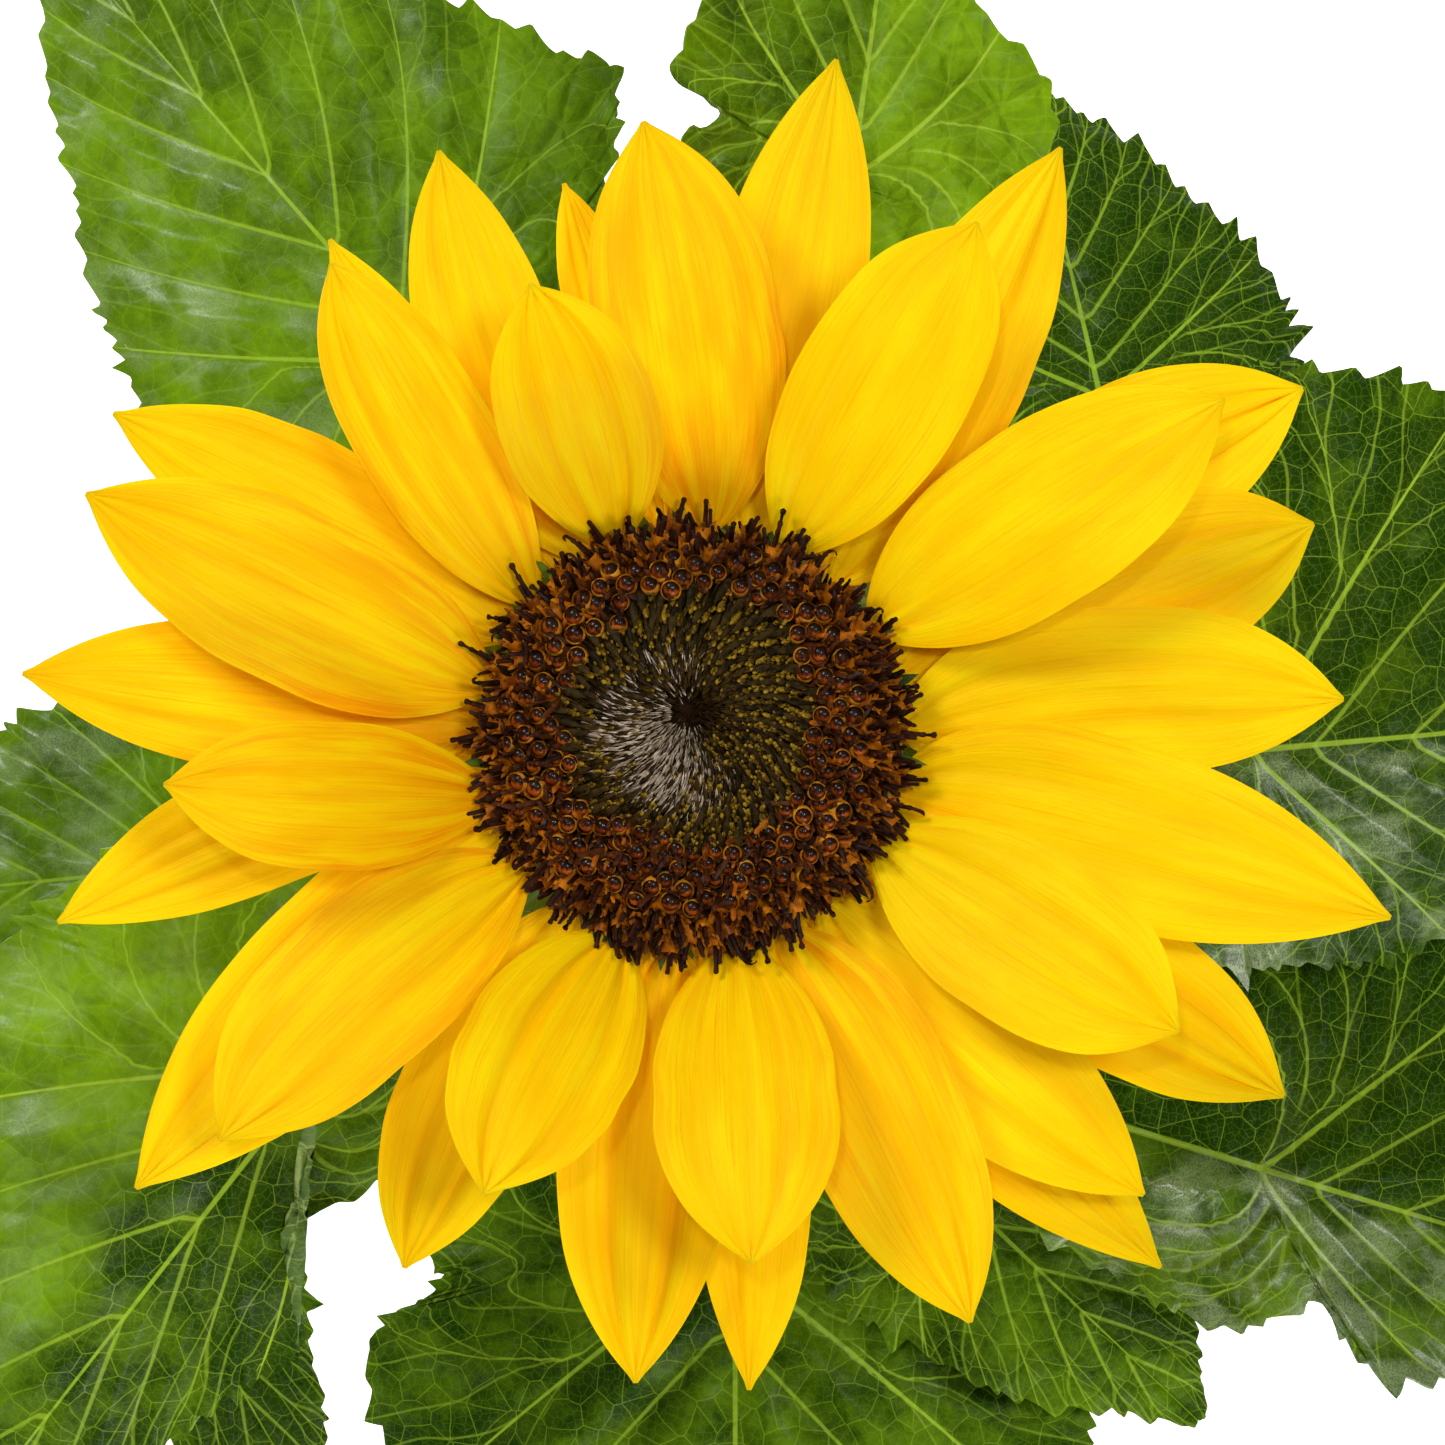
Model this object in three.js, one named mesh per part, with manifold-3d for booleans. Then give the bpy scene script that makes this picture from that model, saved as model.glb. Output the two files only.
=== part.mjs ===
// A dwarf sunflower: one rooted stem with its leaves, and one flower head that faces straight up.
// Millimetres, +Z up. The origin is the middle of the flat cut under the stem, at ground level.
// Angles are in degrees, counted from +X towards +Y as the plant is seen from above.
import * as THREE from "three";
import { mergeVertices } from "three/addons/utils/BufferGeometryUtils.js";
import Module from "manifold-3d";

const wasm = await Module();
wasm.setup();

// Driving dimensions
const RIM_HEIGHT = 335; // where the ray florets spread, above the ground
const GAP = 0.3; // clearance between pieces that meet

// Stem
const STEM_TOP = RIM_HEIGHT - 16.6;
const STEM_RADIUS_LOW = 7.4;
const STEM_RADIUS_HIGH = 5.4;
const ROOT_FLARE = 3.4;
const ROOT_FLARE_HEIGHT = 11;
const NECK_FLARE = 1.6;
const NECK_FLARE_HEIGHT = 9;
const STEM_LEAN = { x: 7, y: -4 };
const STEM_SWAY = 3.2;
const STEM_SIDES = 12;
const STEM_RINGS = 16;

// Flower head: the disc stands on the receptacle, and the ray florets spring from its collar
const COLLAR_RADIUS = 22.5;
const COLLAR_FOOT = -8;
const RECEPTACLE_RADIUS = 23.6;
const HEAD_SIDES = 30;
const ANTHER_COUNT = 30;
const ANTHER_LENGTH = 4.6;
const ANTHER_RADIUS = 0.75;
const ANTHER_LEAN = 58;
const BRACT_COUNT = 13;
const BRACT_THICKNESS = 0.8;
const BRACT_WHORLS = [
  { length: 33, width: 9.5, height: -11.2, rise: 5, turn: 0 },
  { length: 31, width: 9.5, height: -9.4, rise: 7, turn: 0.5 },
];

// Ray florets
const PETAL_THICKNESS = 0.56;
const PETAL_CLAW_WIDTH = 2.4;
const PETAL_TIP_WIDTH = 0.8;
const PETAL_LEVEL_FOOT = -1.6;
const PETAL_LEVEL_STEP = 1.02;
const PETAL_ARCH = 1.0;
const PETAL_ARCH_STEP = 0.85;
const PETAL_CAMBER = 0.011;
const PETAL_HALF_WAY = 45; // how far out the blade's middle is at most
const PETAL_POINT = 0.6; // how slender the end is: more is more slender
const PETAL_COLUMNS = 4;
const PETAL_ROWS = 9;

// base, middle and tip: the direction of the claw, of the blade half way out, and of the tip.
// reach: how far out the tip is. width: the blade's widest. level: 3 is the front row and -1 the back.
// rise: the blade's slope. bend: how far the end turns down. point: for an end more slender than most.
const PETALS = [
  { base: 1, middle: 7.5, tip: 3.5, reach: 72.6, width: 17.5, level: 1, rise: 5.5, bend: 0 },
  { base: 14, middle: 17, tip: 19, reach: 73.7, width: 17, level: 0, rise: 1.5, bend: 0 },
  { base: 31, middle: 32.5, tip: 32.5, reach: 69.6, width: 20, level: 3, rise: 16, bend: 0 },
  { base: 22, middle: 30, tip: 30, reach: 79.3, width: 17.5, level: -1, rise: -3, bend: 0 },
  { base: 48, middle: 54.5, tip: 58, reach: 77.7, width: 18, level: 1, rise: 5, bend: 1 },
  { base: 63, middle: 61.5, tip: 61, reach: 64.8, width: 19.2, level: 3, rise: 21, bend: 0 },
  { base: 74, middle: 77.5, tip: 78, reach: 77.7, width: 17.5, level: 0, rise: 2, bend: 0 },
  { base: 85, middle: 90.5, tip: 94.5, reach: 68.6, width: 20.6, level: 2, rise: 11, bend: 0 },
  { base: 98, middle: 101, tip: 103, reach: 63.8, width: 9, level: 0, rise: 1, bend: 0 },
  { base: 112, middle: 109.5, tip: 109.5, reach: 52.6, width: 17.6, level: 3, rise: 39, bend: 3, point: 0.72 },
  { base: 120, middle: 118, tip: 113.3, reach: 71.3, width: 15.5, level: 1, rise: 6, bend: 0 },
  { base: 140, middle: 131.5, tip: 127.2, reach: 65.6, width: 15.2, level: 3, rise: 19, bend: 0 },
  { base: 129.5, middle: 128.5, tip: 126, reach: 69.1, width: 10, level: 0, rise: 1, bend: 0 },
  { base: 151, middle: 149, tip: 150.7, reach: 74, width: 16.5, level: 1, rise: 5, bend: 0 },
  { base: 166, middle: 160.7, tip: 158, reach: 72, width: 19.4, level: 3, rise: 15, bend: 0 },
  { base: 176.5, middle: 174.5, tip: 174.5, reach: 75, width: 16.4, level: 1, rise: 5, bend: 0 },
  { base: 197, middle: 189, tip: 185, reach: 57.8, width: 16.4, level: 3, rise: 34, bend: 3, point: 0.75 },
  { base: 187, middle: 190.5, tip: 196.2, reach: 74, width: 14.6, level: 0, rise: 1.5, bend: 0 },
  { base: 207, middle: 213.5, tip: 219, reach: 79.8, width: 20, level: 1, rise: 4.5, bend: 0 },
  { base: 217.5, middle: 217, tip: 220.4, reach: 68.2, width: 19.2, level: 3, rise: 18, bend: 0 },
  { base: 234, middle: 238, tip: 241.5, reach: 67.6, width: 16.6, level: 0, rise: 1.5, bend: 0 },
  { base: 250, middle: 245.5, tip: 245.5, reach: 54.6, width: 19.4, level: 3, rise: 36, bend: 2, point: 0.75 },
  { base: 264.5, middle: 263.5, tip: 265, reach: 72.2, width: 19.2, level: 1, rise: 5, bend: 0 },
  { base: 281.5, middle: 278.5, tip: 276.5, reach: 57.8, width: 20.4, level: 3, rise: 31, bend: 1, point: 0.68 },
  { base: 273, middle: 278, tip: 275, reach: 73.4, width: 13.5, level: 0, rise: 0.5, bend: 0 },
  { base: 293.5, middle: 296.5, tip: 295.5, reach: 71.8, width: 19, level: 2, rise: 10, bend: 0 },
  { base: 301.5, middle: 308, tip: 311.5, reach: 79.7, width: 17, level: -1, rise: -3, bend: 0 },
  { base: 309.5, middle: 312, tip: 314.7, reach: 71.7, width: 17.6, level: 1, rise: 5, bend: 0 },
  { base: 321.5, middle: 328, tip: 328.8, reach: 77.6, width: 17.4, level: 0, rise: 0.5, bend: 0 },
  { base: 331.5, middle: 329.5, tip: 329, reach: 62.4, width: 20, level: 3, rise: 24, bend: 0 },
  { base: 345.5, middle: 347.5, tip: 345.6, reach: 80, width: 20.6, level: 2, rise: 9, bend: 0 },
];

// Leaves
const LEAF_THICKNESS = 1.15;
const MIDRIB_DEPTH = 1.5;
const LEAF_TOOTH = 0.045;
const LEAF_BOW = 0.05;
const LEAF_COLUMNS = 6;
const LEAF_ROWS = 14;
const PETIOLE_RADIUS_FOOT = 2.6;
const PETIOLE_RADIUS_TIP = 1.7;
const PETIOLE_SIDES = 6;
const PETIOLE_RINGS = 7;
const SINUS_WIDTH = 2.6;
const SHOULDER_PIVOT = 0.42; // the share of the outline where a shoulder leaves the width as it is

// x, y: where the blade meets its petiole, from the head's axis. drop: how far that is below the rim.
// climb: how much the petiole rises on the way. axis: where the midrib points. left and right: the
// half-widths as seen along the midrib. pitch: the midrib's slope at its base. droop: how much the
// slope falls off by the tip. riseLeft and riseRight: how steeply each half rises. curl: how far the
// margins turn down. wave: how much they undulate. shoulderLeft and shoulderRight: for a half that is
// broader at its base and narrower towards its tip than most, or the other way round below zero.
// lobe: how much further back than on most the lobes beside the petiole reach.
const LEAVES = [
  { x: 18, y: 62, drop: 35, climb: 28, axis: 82, length: 62, left: 20, right: 21, pitch: 4,
    droop: 42, riseLeft: 18, riseRight: 4, curl: 0.15, wave: 2.2 },
  { x: -41, y: -35, drop: 45, climb: 24, axis: 232, length: 100, left: 13.5, right: 36, pitch: 6,
    droop: 40, riseLeft: -30, riseRight: 8, curl: 0.1, wave: 2.6, shoulderLeft: -1.2 },
  { x: 61, y: -2, drop: 50, climb: 24, axis: 5, length: 88, left: 43, right: 26, pitch: 4,
    droop: 45, riseLeft: 6, riseRight: -35, curl: 0.15, wave: 2.4 },
  { x: 64, y: -51, drop: 76, climb: 24, axis: -17, length: 86, left: 36, right: 19, pitch: 0,
    droop: 38, riseLeft: -12, riseRight: 12, curl: 0.1, wave: 3.4, lobe: 1.7 },
  { x: 26, y: -50, drop: 90, climb: 32, axis: -44, length: 54, left: 23, right: 18, pitch: -2,
    droop: 30, riseLeft: 16, riseRight: 8, curl: 0.1, wave: 1.6 },
  { x: 5, y: -58, drop: 100, climb: 34, axis: 270, length: 112, left: 42, right: 45, pitch: 4,
    droop: 46, riseLeft: 3, riseRight: 0, curl: 0.2, wave: 3, shoulderLeft: -0.7 },
  { x: -30, y: 43, drop: 110, climb: 34, axis: 131, length: 86, left: 31, right: 35, pitch: 8,
    droop: 40, riseLeft: -10, riseRight: 8, curl: 0.15, wave: 2.6, shoulderRight: 0.85 },
  { x: 53, y: 41, drop: 140, climb: 36, axis: 103, length: 48, left: 20, right: 26, pitch: 6,
    droop: 40, riseLeft: -4, riseRight: -6, curl: 0.3, wave: 2.2 },
  { x: -32, y: 24, drop: 168, climb: 34, axis: 141, length: 56, left: 17, right: 21, pitch: 4,
    droop: 44, riseLeft: 6, riseRight: 4, curl: 0.2, wave: 1.6 },
  { x: -62, y: -17, drop: 190, climb: 40, axis: 186, length: 66, left: 23, right: 25, pitch: 4,
    droop: 50, riseLeft: 4, riseRight: 8, curl: 0.2, wave: 1.8 },
  { x: -80, y: -61, drop: 222, climb: 42, axis: 297, length: 62, left: 16, right: 18, pitch: 2,
    droop: 46, riseLeft: 4, riseRight: 6, curl: 0.2, wave: 1.8 },
];

// Half of a leaf's outline for a blade of length 1 and half-width 1, from beside the petiole to the tip
const LEAF_OUTLINE = new THREE.SplineCurve([
  new THREE.Vector2(-0.11, 0.04),
  new THREE.Vector2(-0.19, 0.42),
  new THREE.Vector2(-0.05, 0.86),
  new THREE.Vector2(0.17, 1.0),
  new THREE.Vector2(0.4, 0.88),
  new THREE.Vector2(0.64, 0.6),
  new THREE.Vector2(0.84, 0.27),
  new THREE.Vector2(1.0, 0.012),
]);
const VEIN_FAN = 0.5; // the share of the outline whose veins spring from the blade's foot
const VEIN_FOOT = 0.06; // the share of the midrib that they take

// Colours, by kind
const STEM_GREEN = new THREE.MeshStandardMaterial({ color: 0x8fb35a, roughness: 0.6, metalness: 0 });
const LEAF_GREEN = new THREE.MeshStandardMaterial({ color: 0x3f7a1e, roughness: 0.5, metalness: 0 });
const BRACT_GREEN = new THREE.MeshStandardMaterial({ color: 0x5d8a35, roughness: 0.6, metalness: 0 });
const PETAL_YELLOW = new THREE.MeshStandardMaterial({ color: 0xffd200, roughness: 0.55, metalness: 0 });
const DISC_BROWN = new THREE.MeshStandardMaterial({ color: 0x3a1a0a, roughness: 0.7, metalness: 0 });

const UP = new THREE.Vector3(0, 0, 1);
const radians = THREE.MathUtils.degToRad;
const heading = (degrees) => new THREE.Vector3(Math.cos(radians(degrees)), Math.sin(radians(degrees)), 0);

// The geometry with each of its points moved to where place(point) puts it
function reshaped(geometry, place) {
  const positions = geometry.getAttribute("position");
  const point = new THREE.Vector3();
  for (let i = 0; i < positions.count; i++) {
    const moved = place(point.fromBufferAttribute(positions, i).clone());
    positions.setXYZ(i, moved.x, moved.y, moved.z);
  }
  return geometry;
}

function solidOf(geometry) {
  const bare = geometry.clone();
  bare.deleteAttribute("normal");
  bare.deleteAttribute("uv");
  const merged = mergeVertices(bare, 1e-4);
  return new wasm.Manifold(
    new wasm.Mesh({
      numProp: 3,
      vertProperties: new Float32Array(merged.getAttribute("position").array),
      triVerts: new Uint32Array(merged.index.array),
    }),
  );
}

function geometryOf(solid) {
  const mesh = solid.getMesh();
  const geometry = new THREE.BufferGeometry();
  geometry.setAttribute("position", new THREE.BufferAttribute(new Float32Array(mesh.vertProperties), 3));
  geometry.setIndex(new THREE.BufferAttribute(new Uint32Array(mesh.triVerts), 1));
  geometry.computeVertexNormals();
  return geometry;
}

const largest = (solid) => solid.decompose().reduce((a, b) => (a.volume() > b.volume() ? a : b));

function turned(profile, sides) {
  const points = profile.map(([radius, height]) => new THREE.Vector2(radius, height));
  return new THREE.LatheGeometry(points, sides).rotateX(Math.PI / 2);
}

// A round limb along a curve
function limb(curve, radiusAt, sides, rings) {
  const geometry = new THREE.CylinderGeometry(1, 1, 1, sides, rings).rotateX(Math.PI / 2);
  return reshaped(geometry, (p) => {
    const along = p.z + 0.5;
    const tangent = curve.getTangent(along);
    const side = tangent.clone().cross(UP).normalize();
    const back = side.clone().cross(tangent);
    const radius = radiusAt(along);
    return curve
      .getPoint(along)
      .addScaledVector(back, p.x * radius)
      .addScaledVector(side, p.y * radius);
  });
}

// A thin blade: surface(across, along) gives its middle face, with across from -1 to 1 and along
// from 0 to 1, and thickness(across, along) how far it reaches above and below that
function blade(surface, thickness, columns, rows) {
  const geometry = new THREE.BoxGeometry(2, 1, 2, columns, rows, 1).translate(0, 0.5, 0);
  const step = 1e-3;
  return reshaped(geometry, (p) => {
    const [across, along] = [p.x, THREE.MathUtils.clamp(p.y, 0, 1)];
    const acrossWay = surface(across + step, along).sub(surface(across - step, along));
    const low = Math.max(along - step, 0);
    const high = Math.min(along + step, 1);
    const alongWay = surface(across, high).sub(surface(across, low));
    const normal = acrossWay.cross(alongWay).normalize();
    const [above, below] = thickness(across, along);
    return surface(across, along).addScaledVector(normal, p.z > 0 ? above : -below);
  });
}

// Where the stem's middle is at a height
function stemMiddle(height) {
  const share = height / STEM_TOP;
  const sway = STEM_SWAY * Math.sin(Math.PI * share) ** 2;
  return new THREE.Vector3(STEM_LEAN.x * share ** 2 - sway, STEM_LEAN.y * share ** 2 + 0.6 * sway, height);
}

function stemRadius(height) {
  const taper = THREE.MathUtils.lerp(STEM_RADIUS_LOW, STEM_RADIUS_HIGH, height / STEM_TOP);
  const foot = ROOT_FLARE * Math.exp(-height / ROOT_FLARE_HEIGHT);
  const neck = NECK_FLARE * Math.exp(-(STEM_TOP - height) / NECK_FLARE_HEIGHT);
  return taper + foot + neck;
}

// Rings lie closer together towards the foot, where the root flare is
function stemSolid(extraRadius) {
  const geometry = new THREE.CylinderGeometry(1, 1, 1, STEM_SIDES, STEM_RINGS).rotateX(Math.PI / 2);
  return reshaped(geometry, (p) => {
    const height = STEM_TOP * (p.z + 0.5) ** 1.3;
    const middle = stemMiddle(height);
    const radius = stemRadius(height) + extraRadius;
    return new THREE.Vector3(middle.x + p.x * radius, middle.y + p.y * radius, height);
  });
}

const HEAD = stemMiddle(STEM_TOP).setZ(RIM_HEIGHT);

// One involucral bract, with its foot sunk into the receptacle
function bract(whorl, direction) {
  const out = heading(direction);
  const side = heading(direction + 90);
  const start = RECEPTACLE_RADIUS - 4.5;
  const slope = Math.tan(radians(whorl.rise));
  const surface = (across, along) => {
    const halfWidth = (whorl.width / 2) * Math.min(1, 0.75 + 2 * along) * (1 - along) ** 0.9 + 0.3;
    const distance = whorl.length * along;
    const height = whorl.height + slope * distance - 2.4 * along ** 2 + 0.05 * (across * halfWidth) ** 2;
    return new THREE.Vector3(0, 0, height)
      .addScaledVector(out, start + distance)
      .addScaledVector(side, -across * halfWidth);
  };
  return blade(surface, () => [BRACT_THICKNESS / 2, BRACT_THICKNESS / 2], 2, 4);
}

function receptacle() {
  const bowl = turned(
    [
      [0, -16.3],
      [7.2, -16.3],
      [9.5, -14.2],
      [15, -11.6],
      [20.5, -10.2],
      [RECEPTACLE_RADIUS, -9.2],
      [RECEPTACLE_RADIUS, -6.4],
      [21.5, COLLAR_FOOT + 0.2 - GAP],
      [0, COLLAR_FOOT - GAP],
    ],
    HEAD_SIDES,
  );
  let solid = solidOf(bowl);
  for (const whorl of BRACT_WHORLS)
    for (let k = 0; k < BRACT_COUNT; k++)
      solid = solid.add(solidOf(bract(whorl, ((k + whorl.turn) * 360) / BRACT_COUNT)));
  return geometryOf(largest(solid)).translate(HEAD.x, HEAD.y, HEAD.z);
}

// One anther tube of the outermost open florets, leaning out over the ray florets' claws
function anther(direction) {
  const tube = new THREE.CylinderGeometry(ANTHER_RADIUS * 0.6, ANTHER_RADIUS, ANTHER_LENGTH, 5, 1);
  return tube
    .translate(0, ANTHER_LENGTH / 2, 0)
    .rotateX(Math.PI / 2)
    .rotateY(radians(ANTHER_LEAN))
    .translate(22.6, 0, 4.4)
    .rotateZ(radians(direction));
}

function disc() {
  const dome = turned(
    [
      [0, COLLAR_FOOT],
      [COLLAR_RADIUS - 1.2, COLLAR_FOOT],
      [COLLAR_RADIUS, COLLAR_FOOT + 1.2],
      [COLLAR_RADIUS, 2.9],
      [24.0, 3.7],
      [23.8, 5.2],
      [22.2, 6.4],
      [18.6, 7.2],
      [14.5, 6.4],
      [9.5, 6.6],
      [5.0, 6.3],
      [2.0, 5.2],
      [0, 4.6],
    ],
    HEAD_SIDES,
  );
  let solid = solidOf(dome);
  for (let k = 0; k < ANTHER_COUNT; k++)
    solid = solid.add(solidOf(anther((k * 360) / ANTHER_COUNT)));
  return geometryOf(largest(solid)).translate(HEAD.x, HEAD.y, HEAD.z);
}

// A ray floret's width along its length, as a share of its widest: a narrow claw, a broad blade
// and a short pointed tip
function petalFullness(along, point) {
  const bulge = Math.sin(Math.PI * along ** 0.86);
  return Math.max(bulge, 0) ** (along < 0.45 ? 0.78 : point);
}

function petal(row) {
  const foot = COLLAR_RADIUS + 1.7 * GAP;
  const start = heading(row.base).multiplyScalar(foot);
  const end = heading(row.tip).multiplyScalar(row.reach);
  const halfWay = Math.min(PETAL_HALF_WAY, (foot + row.reach) / 2);
  const turn = heading(row.middle).multiplyScalar(halfWay);
  const control = turn.multiplyScalar(2).addScaledVector(start, -0.5).addScaledVector(end, -0.5);
  const line = new THREE.QuadraticBezierCurve3(start, control, end);
  const slope = Math.tan(radians(row.rise));
  const arch = PETAL_ARCH + PETAL_ARCH_STEP * row.level;
  const footHeight = PETAL_LEVEL_FOOT + PETAL_LEVEL_STEP * row.level;
  const surface = (across, along) => {
    const width = PETAL_CLAW_WIDTH * (1 - along) + PETAL_TIP_WIDTH * along;
    const fullness = petalFullness(along, row.point ?? PETAL_POINT);
    const halfWidth = Math.max(row.width * fullness, width) / 2;
    const middle = line.getPoint(along);
    const way = line.getTangent(along);
    const sideways = across * halfWidth;
    const flat = new THREE.Vector3(
      middle.x + way.y * sideways,
      middle.y - way.x * sideways,
      0,
    );
    const camber = PETAL_CAMBER * Math.cos(2.2 * along) * sideways ** 2;
    const climb = slope * (row.reach - foot) * along + arch * Math.sin(Math.PI * along);
    flat.z = footHeight + climb + camber - row.bend * THREE.MathUtils.smoothstep(along, 0.6, 1.2);
    return flat;
  };
  const half = PETAL_THICKNESS / 2;
  return blade(surface, () => [half, half], PETAL_COLUMNS, PETAL_ROWS).translate(HEAD.x, HEAD.y, HEAD.z);
}

// Where a leaf's blade meets its petiole
const leafFoot = (leaf) => new THREE.Vector3(HEAD.x + leaf.x, HEAD.y + leaf.y, RIM_HEIGHT - leaf.drop);

function petioleCurve(leaf) {
  const end = leafFoot(leaf);
  const start = stemMiddle(end.z - leaf.climb - 8);
  const out = end.clone().sub(start).setZ(0);
  const bend = start.clone().addScaledVector(out, 0.5);
  bend.z = end.z - leaf.climb * 0.3;
  const last = end.clone().addScaledVector(heading(leaf.axis), -1.4);
  last.z -= 1.2;
  return new THREE.CatmullRomCurve3([start, bend, last], false, "centripetal");
}

function petioleGeometry(leaf, extraRadius) {
  const radiusAt = (along) =>
    THREE.MathUtils.lerp(PETIOLE_RADIUS_FOOT, PETIOLE_RADIUS_TIP, along) + extraRadius;
  return limb(petioleCurve(leaf), radiusAt, PETIOLE_SIDES, PETIOLE_RINGS);
}

// Where along the midrib the vein that ends at a share of the outline springs from it
function veinFoot(share) {
  if (share < VEIN_FAN) return VEIN_FOOT * (share / VEIN_FAN);
  return VEIN_FOOT + (1 - VEIN_FOOT) * ((share - VEIN_FAN) / (1 - VEIN_FAN)) ** 1.15;
}

// A flat leaf's point, as distances along and beside the midrib. Rows follow the side veins.
function flatLeaf(leaf, across, along) {
  const edge = LEAF_OUTLINE.getPoint(along);
  const halfWidth = across < 0 ? leaf.left : leaf.right;
  const shoulder = (across < 0 ? leaf.shoulderLeft : leaf.shoulderRight) ?? 0;
  const tooth = 1 + LEAF_TOOTH * Math.cos(Math.PI * along * LEAF_ROWS) * Math.sin(Math.PI * along);
  const breadth = edge.y * halfWidth * tooth * (1 + shoulder * (SHOULDER_PIVOT - along));
  const reach = breadth + THREE.MathUtils.lerp(SINUS_WIDTH, 0.5, along);
  const ahead = edge.x < 0 ? edge.x * (leaf.lobe ?? 1) : edge.x;
  const foot = veinFoot(along);
  const share = Math.abs(across);
  const bow = LEAF_BOW * share * (1 - share) * Math.sin(Math.PI * along);
  return {
    forward: leaf.length * (foot + (ahead - foot) * share - bow),
    sideways: Math.sign(across) * reach * share,
  };
}

function leafGeometry(leaf) {
  const foot = leafFoot(leaf);
  const ahead = heading(leaf.axis);
  const beside = heading(leaf.axis - 90);
  const surface = (across, along) => {
    const { forward, sideways } = flatLeaf(leaf, across, along);
    const share = forward / leaf.length;
    const slopeFoot = radians(leaf.pitch);
    const slope = slopeFoot - radians(leaf.droop) * Math.max(share, 0);
    const middle = (slopeFoot + slope) / 2;
    const tilt = radians(across < 0 ? leaf.riseLeft : leaf.riseRight);
    const halfWidth = across < 0 ? leaf.left : leaf.right;
    const outward = Math.abs(sideways) / halfWidth;
    const wave = leaf.wave * outward ** 2 * Math.sin(11 * along + leaf.axis + (across < 0 ? 2 : 0));
    const lift = halfWidth * (outward * Math.sin(tilt) - leaf.curl * outward ** 2) + wave;
    return foot
      .clone()
      .addScaledVector(ahead, forward * Math.cos(middle) - lift * Math.sin(slope))
      .addScaledVector(UP, forward * Math.sin(middle) + lift * Math.cos(slope))
      .addScaledVector(beside, sideways);
  };
  const thickness = (across, along) => {
    const rib = Math.max(0, 1 - 3 * Math.abs(across)) * (1 - along);
    return [LEAF_THICKNESS / 2, LEAF_THICKNESS / 2 + MIDRIB_DEPTH * rib];
  };
  return blade(surface, thickness, LEAF_COLUMNS, LEAF_ROWS);
}

function named(name, geometry, material) {
  const mesh = new THREE.Mesh(geometry, material);
  mesh.name = name;
  return mesh;
}

const numbered = (kind, index) => `${kind}_${String(index + 1).padStart(2, "0")}`;

const plant = new THREE.Group();
plant.add(named("stem", stemSolid(0), STEM_GREEN));

const stemClearance = solidOf(stemSolid(GAP));
LEAVES.forEach((leaf, index) => {
  const petiole = largest(solidOf(petioleGeometry(leaf, 0)).subtract(stemClearance));
  const petioleClearance = solidOf(petioleGeometry(leaf, GAP));
  const leafSolid = largest(solidOf(leafGeometry(leaf)).subtract(petioleClearance));
  plant.add(named(numbered("petiole", index), geometryOf(petiole), STEM_GREEN));
  plant.add(named(numbered("leaf", index), geometryOf(leafSolid), LEAF_GREEN));
});

const head = new THREE.Group();
head.add(named("receptacle", receptacle(), BRACT_GREEN));
head.add(named("disc", disc(), DISC_BROWN));
PETALS.forEach((row, index) => head.add(named(numbered("petal", index), petal(row), PETAL_YELLOW)));
plant.add(head);

export default plant;
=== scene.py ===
"""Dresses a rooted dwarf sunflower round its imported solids: rays, disc, leaves, stalks, bracts and stem."""

import logging
import math
from dataclasses import dataclass, field
from enum import Enum
from typing import Callable, Sequence

import bmesh
import bpy
import numpy as np
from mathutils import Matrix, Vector


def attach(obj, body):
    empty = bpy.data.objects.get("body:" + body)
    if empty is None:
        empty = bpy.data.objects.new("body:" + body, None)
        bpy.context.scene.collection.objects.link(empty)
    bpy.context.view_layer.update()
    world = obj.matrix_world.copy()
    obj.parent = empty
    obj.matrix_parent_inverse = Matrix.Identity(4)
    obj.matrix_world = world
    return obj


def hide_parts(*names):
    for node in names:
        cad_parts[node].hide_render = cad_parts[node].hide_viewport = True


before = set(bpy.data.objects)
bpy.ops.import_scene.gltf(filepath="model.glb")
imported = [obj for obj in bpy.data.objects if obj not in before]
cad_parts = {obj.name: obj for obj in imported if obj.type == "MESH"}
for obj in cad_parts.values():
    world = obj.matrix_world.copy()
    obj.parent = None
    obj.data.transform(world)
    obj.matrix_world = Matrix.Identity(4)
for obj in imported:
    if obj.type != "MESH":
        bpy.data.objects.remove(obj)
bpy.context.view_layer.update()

log = logging.getLogger("sunflower")

MM = 0.001
Array = np.ndarray

# The source's driving sizes, in millimetres, with the origin at the stem's foot.
RIM_HEIGHT = 335.0
STEM_TOP = RIM_HEIGHT - 16.6
STEM_RADIUS_LOW = 7.4
STEM_RADIUS_HIGH = 5.4
ROOT_FLARE = 3.4
ROOT_FLARE_HEIGHT = 11.0
NECK_FLARE = 1.6
NECK_FLARE_HEIGHT = 9.0
STEM_LEAN = (7.0, -4.0)
STEM_SWAY = 3.2
COLLAR_RADIUS = 22.5
COLLAR_FOOT = -8.0
RECEPTACLE_RADIUS = 23.6
GAP = 0.3
GOLDEN_ANGLE = math.pi * (3.0 - math.sqrt(5.0))
UP = np.array([0.0, 0.0, 1.0])


# Small maths.


def heading(degrees: float) -> Array:
    """The level direction at an angle from +X towards +Y."""
    return np.array([math.cos(math.radians(degrees)), math.sin(math.radians(degrees)), 0.0])


def polar(radius: Array | float, angle: Array, level: Array) -> Array:
    """Points at a radius, at an angle round the upright, and at a level."""
    return np.stack([radius * np.cos(angle), radius * np.sin(angle), level], -1)


def smoothstep(value: Array, low: float, high: float) -> Array:
    """Zero below low, one above high, smooth between."""
    share = np.clip((value - low) / (high - low), 0.0, 1.0)
    return share * share * (3.0 - 2.0 * share)


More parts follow.
